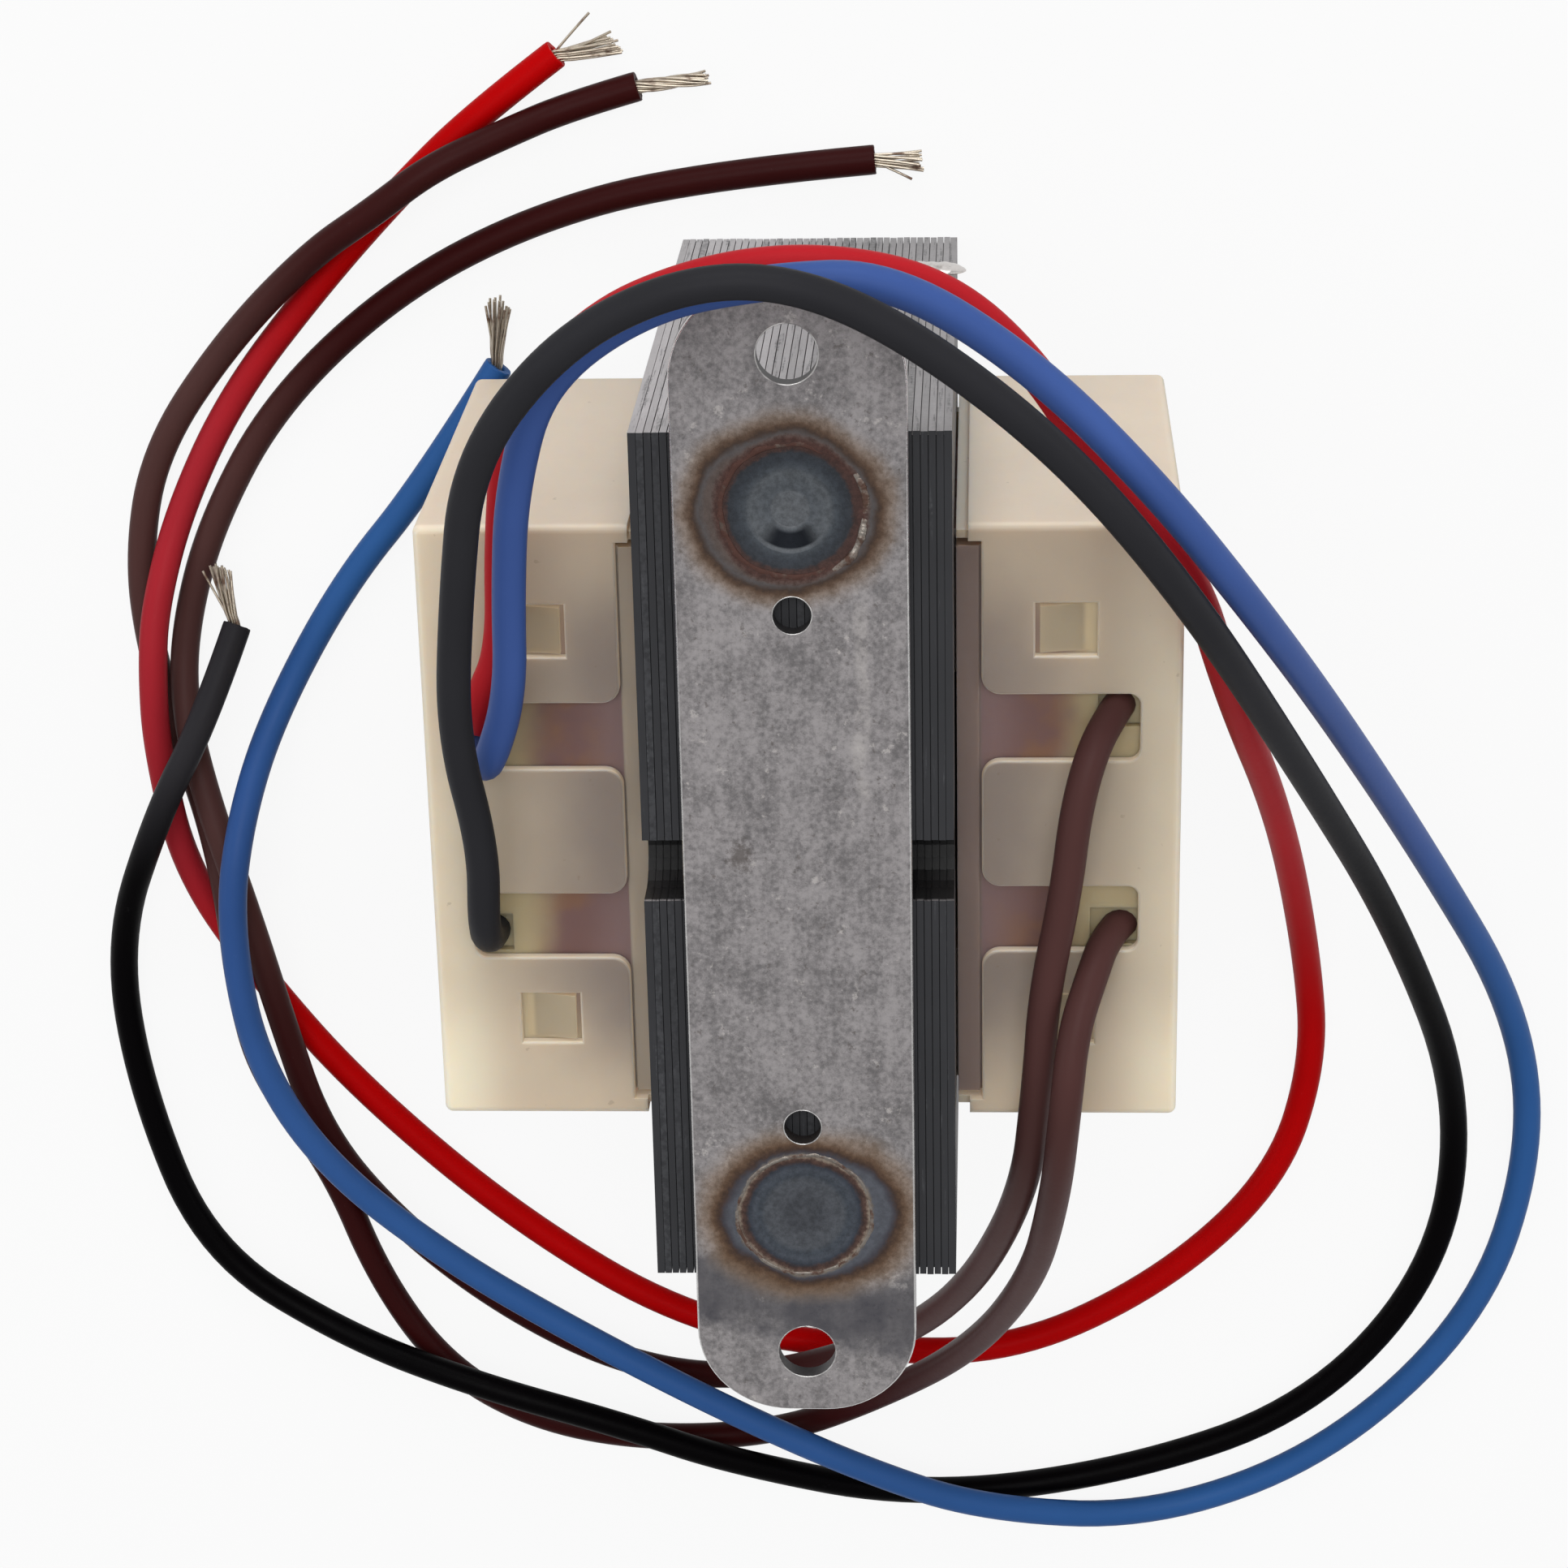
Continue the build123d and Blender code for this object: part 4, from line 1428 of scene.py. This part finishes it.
LEADS = (
    Lead(
        "black", Insulation.BLACK, 0.494,
        StripFan((-1.3, 6.4, -1.0), 1.15, 0.12, ((-3.0, 6.0, -0.6),)),
        (
            (-24.75, -10.15, 36.6), (-24.75, -10.15, 42.6), (-27.2, -10.15, 48.6),
            (-27.2, -10.15, 55), (-27.3, -7.4, 59), (-26.5, 1.5, 62), (-28, 13.5, 66.4),
            (-26.5, 26.5, 70.5), (-24.5, 39, 74), (-17, 49, 77), (-8, 54, 78.4), (0.5, 54.5, 78.4),
            (9.5, 50, 76.5), (21.3, 39.8, 73.5), (31.4, 26, 67.5), (42.2, 4.3, 49),
            (54.5, -23.5, 21), (64, -51, 2.5), (62.5, -71.5, 1.4), (49.6, -88.3, 1.5),
            (29.6, -96.3, 1.4), (8, -99.5, 1.4), (-11.4, -92.7, 5.6), (-23, -87.5, 6.8),
            (-37.5, -83, 6.8), (-51.9, -79.7, 2.4), (-66.5, -70, 1.4), (-72, -51, 1.5),
            (-73, -34, 2), (-66, -17, 8.8), (-60.5, -7, 9.2), (-57.6, 0.9, 5.2),
        ),
    ),
    Lead(
        "blue", Insulation.BLUE, 0.498,
        StripFan((0.9, 6.9, 0.4), 1.3, 0.05, ((-0.7, 6.6, 0.5), (-0.2, 6.9, 0.9))),
        (
            (-24.75, 6.9, 36.6), (-24.75, 6.9, 42.6), (-27.2, 6.9, 48.6), (-27.2, 6.9, 56.4),
            (-25.9, 8.2, 60.2), (-23.5, 15.5, 62.6), (-23, 25, 65), (-22, 34.5, 67.6),
            (-19, 44.5, 70.6), (-10.5, 51, 72.6), (-1, 53, 73.2), (8.5, 53, 72), (19.5, 45, 69.4),
            (29.2, 34.7, 68.6), (37.5, 22, 60.5), (45.5, 7, 45), (56.7, -16.2, 20),
            (68.7, -40.1, 4.2), (71.6, -57.5, 1.4), (67, -76.5, 1.5), (52.2, -93.4, 1.4),
            (33.5, -101.5, 1.8), (15, -97.5, 6.8), (2.5, -92, 8), (-11.1, -85.3, 7.8),
            (-26.7, -76.8, 6.8), (-40.5, -67.5, 7), (-52, -55.5, 9.4), (-58, -42.5, 11),
            (-59, -27, 12.8), (-57.5, -17, 10.6), (-55, -9, 3.4), (-47.4, 4.2, 1.4),
            (-38.8, 14.4, 1.5), (-31.2, 25.9, 1.4),
        ),
    ),
    Lead(
        "red", Insulation.RED, 0.473,
        StripFan((6.2, 1.1, 0.0), 0.8, 0.1, ((3.8, 4.3, 1.2), (5.6, 2.6, 0.8))),
        (
            (-24.75, 9.9, 36.6), (-24.75, 9.9, 42.6), (-27.2, 9.9, 48.6), (-27.2, 9.9, 55.6),
            (-26.8, 13, 58), (-24.5, 18, 58.8), (-24, 28, 60.4), (-22.5, 38.5, 63.2),
            (-16, 48, 66.6), (-6.5, 52.5, 68.4), (3, 53.5, 68.4), (12.5, 51, 66.8), (19.5, 44, 64.8),
            (25.5, 33.5, 63), (32.5, 25.5, 61.4), (36.5, 10, 48.5), (43, -11, 25), (47.5, -33.5, 6),
            (49, -47.5, 1.5), (45.5, -61, 1.4), (34, -73, 1.5), (18.5, -81.5, 1.4),
            (2.5, -81.5, 1.5), (-16, -78, 1.4), (-33.5, -66, 1.5), (-49, -51, 1.4),
            (-59, -37.5, 1.5), (-65.5, -26, 1.4), (-66.5, -12, 4.8), (-66, -3.5, 6.4), (-65.5, 3, 5),
            (-63, 12, 1.6), (-57, 23.5, 1.4), (-47.5, 35, 1.5), (-39, 44, 1.4), (-32, 50.5, 1.5),
            (-24.5, 56, 1.4),
        ),
    ),
    Lead(
        "brown_upper", Insulation.BROWN, 0.347,
        StripFan((4.9, -0.2, 0.0), 0.7, 0.1, ((4.0, -1.8, 0.2),)),
        (
            (24.75, 10.6, 36.6), (24.75, 10.6, 42.6), (28, 10.6, 48.6), (26.3, 10.6, 54.6),
            (24.6, 8.6, 57.8), (23.2, 3.5, 58.8), (22.4, -4, 58.8), (20.6, -13.5, 58.8),
            (20.1, -22, 58.6), (19, -36.5, 52.4), (12.8, -59.9, 30), (1.5, -77, 10.5),
            (-11.5, -84.5, 2.6), (-23.5, -83, 1.4), (-35.5, -76, 1.5), (-46, -66.5, 1.6),
            (-53, -54.5, 4.4), (-56, -39.5, 6.4), (-58, -28.5, 8), (-61.6, -17.1, 6),
            (-63.8, -8, 3.4), (-63.4, 0, 1.4), (-60, 10.5, 1.5), (-53, 22.5, 1.4), (-41, 33.5, 1.5),
            (-27.5, 40.5, 1.4), (-12, 44.5, 1.5), (5, 45.9, 1.4),
        ),
    ),
    Lead(
        "brown_lower", Insulation.BROWN, 0.342,
        StripFan((7.0, 0.9, 0.0), 0.12, 0.45),
        (
            (24.75, -9.55, 36.6), (24.75, -9.55, 42.6), (29.2, -9.55, 48.6), (26, -9.8, 54.6),
            (24.6, -12.2, 58.4), (23.1, -16.2, 60.6), (22.4, -23, 62), (21.7, -34.5, 56),
            (19.9, -50.2, 42.5), (14.2, -69.7, 21.5), (4.7, -83.4, 7.4), (-6.5, -91.5, 1.6),
            (-20.5, -92.5, 1.4), (-32.5, -90, 1.5), (-41.9, -83.9, 1.4), (-48.3, -73.2, 1.5),
            (-52.5, -60, 1.4), (-59, -49, 2.4), (-60, -37.5, 5.6), (-60.5, -29, 4.6),
            (-62.5, -20.5, 1.4), (-65, -11, 1.5), (-67, -3, 1.4), (-67.5, 7, 1.5), (-65, 18, 1.4),
            (-57, 29, 1.6), (-48, 38, 4.4), (-41.5, 42.5, 6.2), (-36, 46.5, 6), (-29.4, 49.1, 3.9),
            (-23.4, 51.2, 1.5), (-17, 53, 1.5),
        ),
    ),
)


@dataclass
class FlyingLeads:
    """The five leads with their cut ends and stripped strands."""

    radius: float = 1.4
    strand_radius: float = 0.127
    strand_count: int = 16
    conductor_radius: float = 0.60
    strand_points: int = 9
    strand_turn: float = 2.4
    strand_inset: float = 0.2
    strand_wander: float = 0.05
    tip_share: Span = (0.93, 1.03)
    stray_spread: float = 0.1
    fan_power: float = 1.4
    bend_from: float = 0.45
    bend_rate: float = 2.2
    collar_length: float = 0.35
    collar_inset: float = 0.3
    collar_clearance: float = 0.12
    collar_rag: float = 0.05
    collar_rag_scale: float = 3.0
    collar_rag_step: float = 50.0
    collar_sides: int = 40
    dice: random.Random = field(default_factory=lambda: random.Random(18))

    def build(self) -> None:
        """Build every lead."""
        tinned = Metal.STRANDS.value.build()
        finishes = {finish: finish.value.build() for finish in Insulation}
        for lead in LEADS:
            material = finishes[lead.insulation]
            cord = new_piece(f"cord_{lead.name}", self.cord_curve(lead), material)
            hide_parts(f"lead_{lead.name}")
            collar = new_piece(f"cut_end_{lead.name}", self.collar_mesh(lead), material)
            bare = self.strand_curve(lead)
            strands = new_piece(f"bare_strands_{lead.name}", bare, tinned)
            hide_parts(f"strands_{lead.name}")

    def cord_curve(self, lead: Lead) -> Curve:
        """The insulated lead as one smooth curve along its route.

        Args:
            lead: The lead.

        Returns:
            The curve.
        """
        curve = round_curve(f"cord_{lead.name}", self.radius, bevel=6, steps=10)
        add_run(curve, lead.route)
        return curve

    @staticmethod
    def end_frame(lead: Lead) -> Matrix:
        """The frame at a lead's bare end, in millimetres, with Z out of the insulation.

        Args:
            lead: The lead.

        Returns:
            The frame, with the end of the route at its origin.
        """
        end = Vector(lead.route[-1])
        along = (end - Vector(lead.route[-2])).normalized()
        across = along.orthogonal().normalized()
        axes = Matrix((across, along.cross(across), along)).transposed()
        return Matrix.Translation(end) @ axes.to_4x4()

    def collar_mesh(self, lead: Lead) -> Mesh:
        """The cut end of the insulation, a ragged ring round the conductor.

        Args:
            lead: The lead.

        Returns:
            The mesh.
        """
        frame = self.end_frame(lead)
        bore = self.conductor_radius + self.collar_clearance
        length = self.collar_length
        profile = (
            (self.radius * 0.985, -self.collar_inset), (self.radius * 0.99, length * 0.7),
            (self.radius * 0.95, length), (bore + 0.08, length * 0.92),
            (bore, length * 0.6), (bore, -self.collar_inset),
        )
        rings = []
        for turn in turns(self.collar_sides):
            spot = Vector((math.cos(turn), math.sin(turn), 0.0)) * self.collar_rag_scale
            spot.z = lead.length * self.collar_rag_step
            rag = self.collar_rag * noise.noise(spot)
            cut = [(out, height + rag if height > 0 else height) for out, height in profile]
            rings.append([frame @ Vector(point) for point in turned(cut, turn, 0.0)])
        collar = RingMesh(f"cut_end_{lead.name}", smooth=False)
        collar.tube(rings, closed=True)
        return collar.finished()

    def strand_curve(self, lead: Lead) -> Curve:
        """The stripped strands, fanned or twisted as the lead's own.

        Args:
            lead: The lead.

        Returns:
            One curve with a run for each strand.
        """
        curve = round_curve(f"bare_strands_{lead.name}", self.strand_radius, bevel=2, steps=4)
        fan = lead.fan
        frame = self.end_frame(lead)
        along = frame.to_3x3() @ Vector((0, 0, 1))
        reach = Vector(fan.tip).length
        for strand in range(self.strand_count):
            spread = fan.spread
            tip = Vector(fan.tip) * self.dice.uniform(*self.tip_share)
            if strand < len(fan.strays):
                tip = Vector(fan.strays[strand])
                spread = self.stray_spread
            ring = self.conductor_radius * math.sqrt((strand + 0.5) / self.strand_count)
            wander = Vector([self.dice.uniform(-self.strand_wander, self.strand_wander) for _ in range(3)])
            points = []
            for index in range(self.strand_points):
                share = index / (self.strand_points - 1)
                angle = self.strand_turn * strand + 2 * math.pi * fan.twist_turns * share
                out = ring * (1 + spread * share**self.fan_power)
                local = Vector((out * math.cos(angle), out * math.sin(angle), -self.strand_inset))
                straight = along * reach * share
                bent = straight.lerp(tip * share, min(1.0, self.bend_from + self.bend_rate * share))
                place = frame @ local + bent + wander * math.sin(math.pi * share)
                place.z = max(place.z, self.strand_radius)
                points.append(place)
            add_run(curve, points)
        return curve


@dataclass(frozen=True)
class SoftBox:
    """A rectangular studio lamp."""

    name: str
    place: Point
    aim: Point
    width: float
    height: float
    watts: float


@dataclass(frozen=True)
class Studio:
    """Floor, light and the camera at the photograph's place."""

    lens_mm: float = 90.639
    sensor_mm: float = 36.0
    camera_place: Point = (0.0158, 0.12906, 0.36631)
    camera_aim: Point = (-0.00456, -0.01762, 0.0)
    camera_roll_deg: float = -1.264
    floor_size: float = 8.0
    sky: Colour = (1.0, 1.0, 1.0)
    sky_strength: float = 0.55
    lamps: tuple[SoftBox, ...] = (
        SoftBox("overhead_softbox", (0.0, 0.34, 0.90), (0.0, 0.0, 0.03), 0.55, 0.55, 4.2),
        SoftBox("front_softbox", (0.0, 0.90, 0.40), (0.0, 0.0, 0.03), 0.7, 0.4, 3.8),
        SoftBox("left_softbox", (-0.80, 0.05, 0.45), (0.0, 0.0, 0.03), 0.4, 0.4, 1.0),
        SoftBox("right_softbox", (0.80, 0.05, 0.45), (0.0, 0.0, 0.03), 0.4, 0.4, 1.0),
    )

    def build(self) -> None:
        """Set the stage."""
        scene = bpy.context.scene
        scene.view_settings.view_transform = "Standard"
        self.build_floor()
        self.build_sky()
        for lamp in self.lamps:
            self.build_lamp(lamp)
        scene.camera = self.build_camera()

    def build_floor(self) -> None:
        """A plain pale floor under the part."""
        half = self.floor_size / 2
        corners = [(-half, -half, 0.0), (half, -half, 0.0), (half, half, 0.0), (-half, half, 0.0)]
        mesh = bpy.data.meshes.new("floor")
        mesh.from_pydata(corners, [], [(0, 1, 2, 3)])
        floor = bpy.data.objects.new("floor", mesh)
        bpy.context.scene.collection.objects.link(floor)
        floor.data.materials.append(StudioFloor().build())

    def build_sky(self) -> None:
        """Even light from all round."""
        world = bpy.data.worlds.new("studio")
        world.use_nodes = True
        background = world.node_tree.nodes["Background"]
        background.inputs["Color"].default_value = (*self.sky, 1.0)
        background.inputs["Strength"].default_value = self.sky_strength
        bpy.context.scene.world = world

    @staticmethod
    def build_lamp(lamp: SoftBox) -> None:
        """One soft rectangular lamp.

        Args:
            lamp: The lamp's place, aim, size and power.
        """
        light = bpy.data.lights.new(lamp.name, "AREA")
        light.shape = "RECTANGLE"
        light.size = lamp.width
        light.size_y = lamp.height
        light.energy = lamp.watts
        holder = bpy.data.objects.new(lamp.name, light)
        holder.location = lamp.place
        direction = Vector(lamp.aim) - Vector(lamp.place)
        holder.rotation_euler = direction.to_track_quat("-Z", "Y").to_euler()
        bpy.context.scene.collection.objects.link(holder)

    def build_camera(self) -> bpy.types.Object:
        """The camera, with the plate's long axis up the frame.

        Returns:
            The camera, in the scene.
        """
        data = bpy.data.cameras.new("photo_camera")
        data.lens = self.lens_mm
        data.sensor_width = self.sensor_mm
        data.clip_start = 0.01
        camera = bpy.data.objects.new("photo_camera", data)
        bpy.context.scene.collection.objects.link(camera)
        place = Vector(self.camera_place)
        forward = (Vector(self.camera_aim) - place).normalized()
        right = forward.cross(Vector((0, 1, 0))).normalized()
        up = right.cross(forward)
        axes = Matrix((right, up, -forward)).transposed()
        roll = Matrix.Rotation(math.radians(self.camera_roll_deg), 3, "Z")
        camera.matrix_world = Matrix.Translation(place) @ (axes @ roll).to_4x4()
        return camera


def main() -> None:
    """Load the frame, dress it and set the stage."""
    logging.basicConfig(level=logging.INFO, format="%(name)s: %(message)s")
    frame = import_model()
    nodes = frame["nodes"]
    Studio().build()
    FlyingLeads().build()
    LaminatedCore().build()
    FootPlate().build(nodes)
    WoundCoil().build(nodes)


if __name__ == "__main__":
    main()
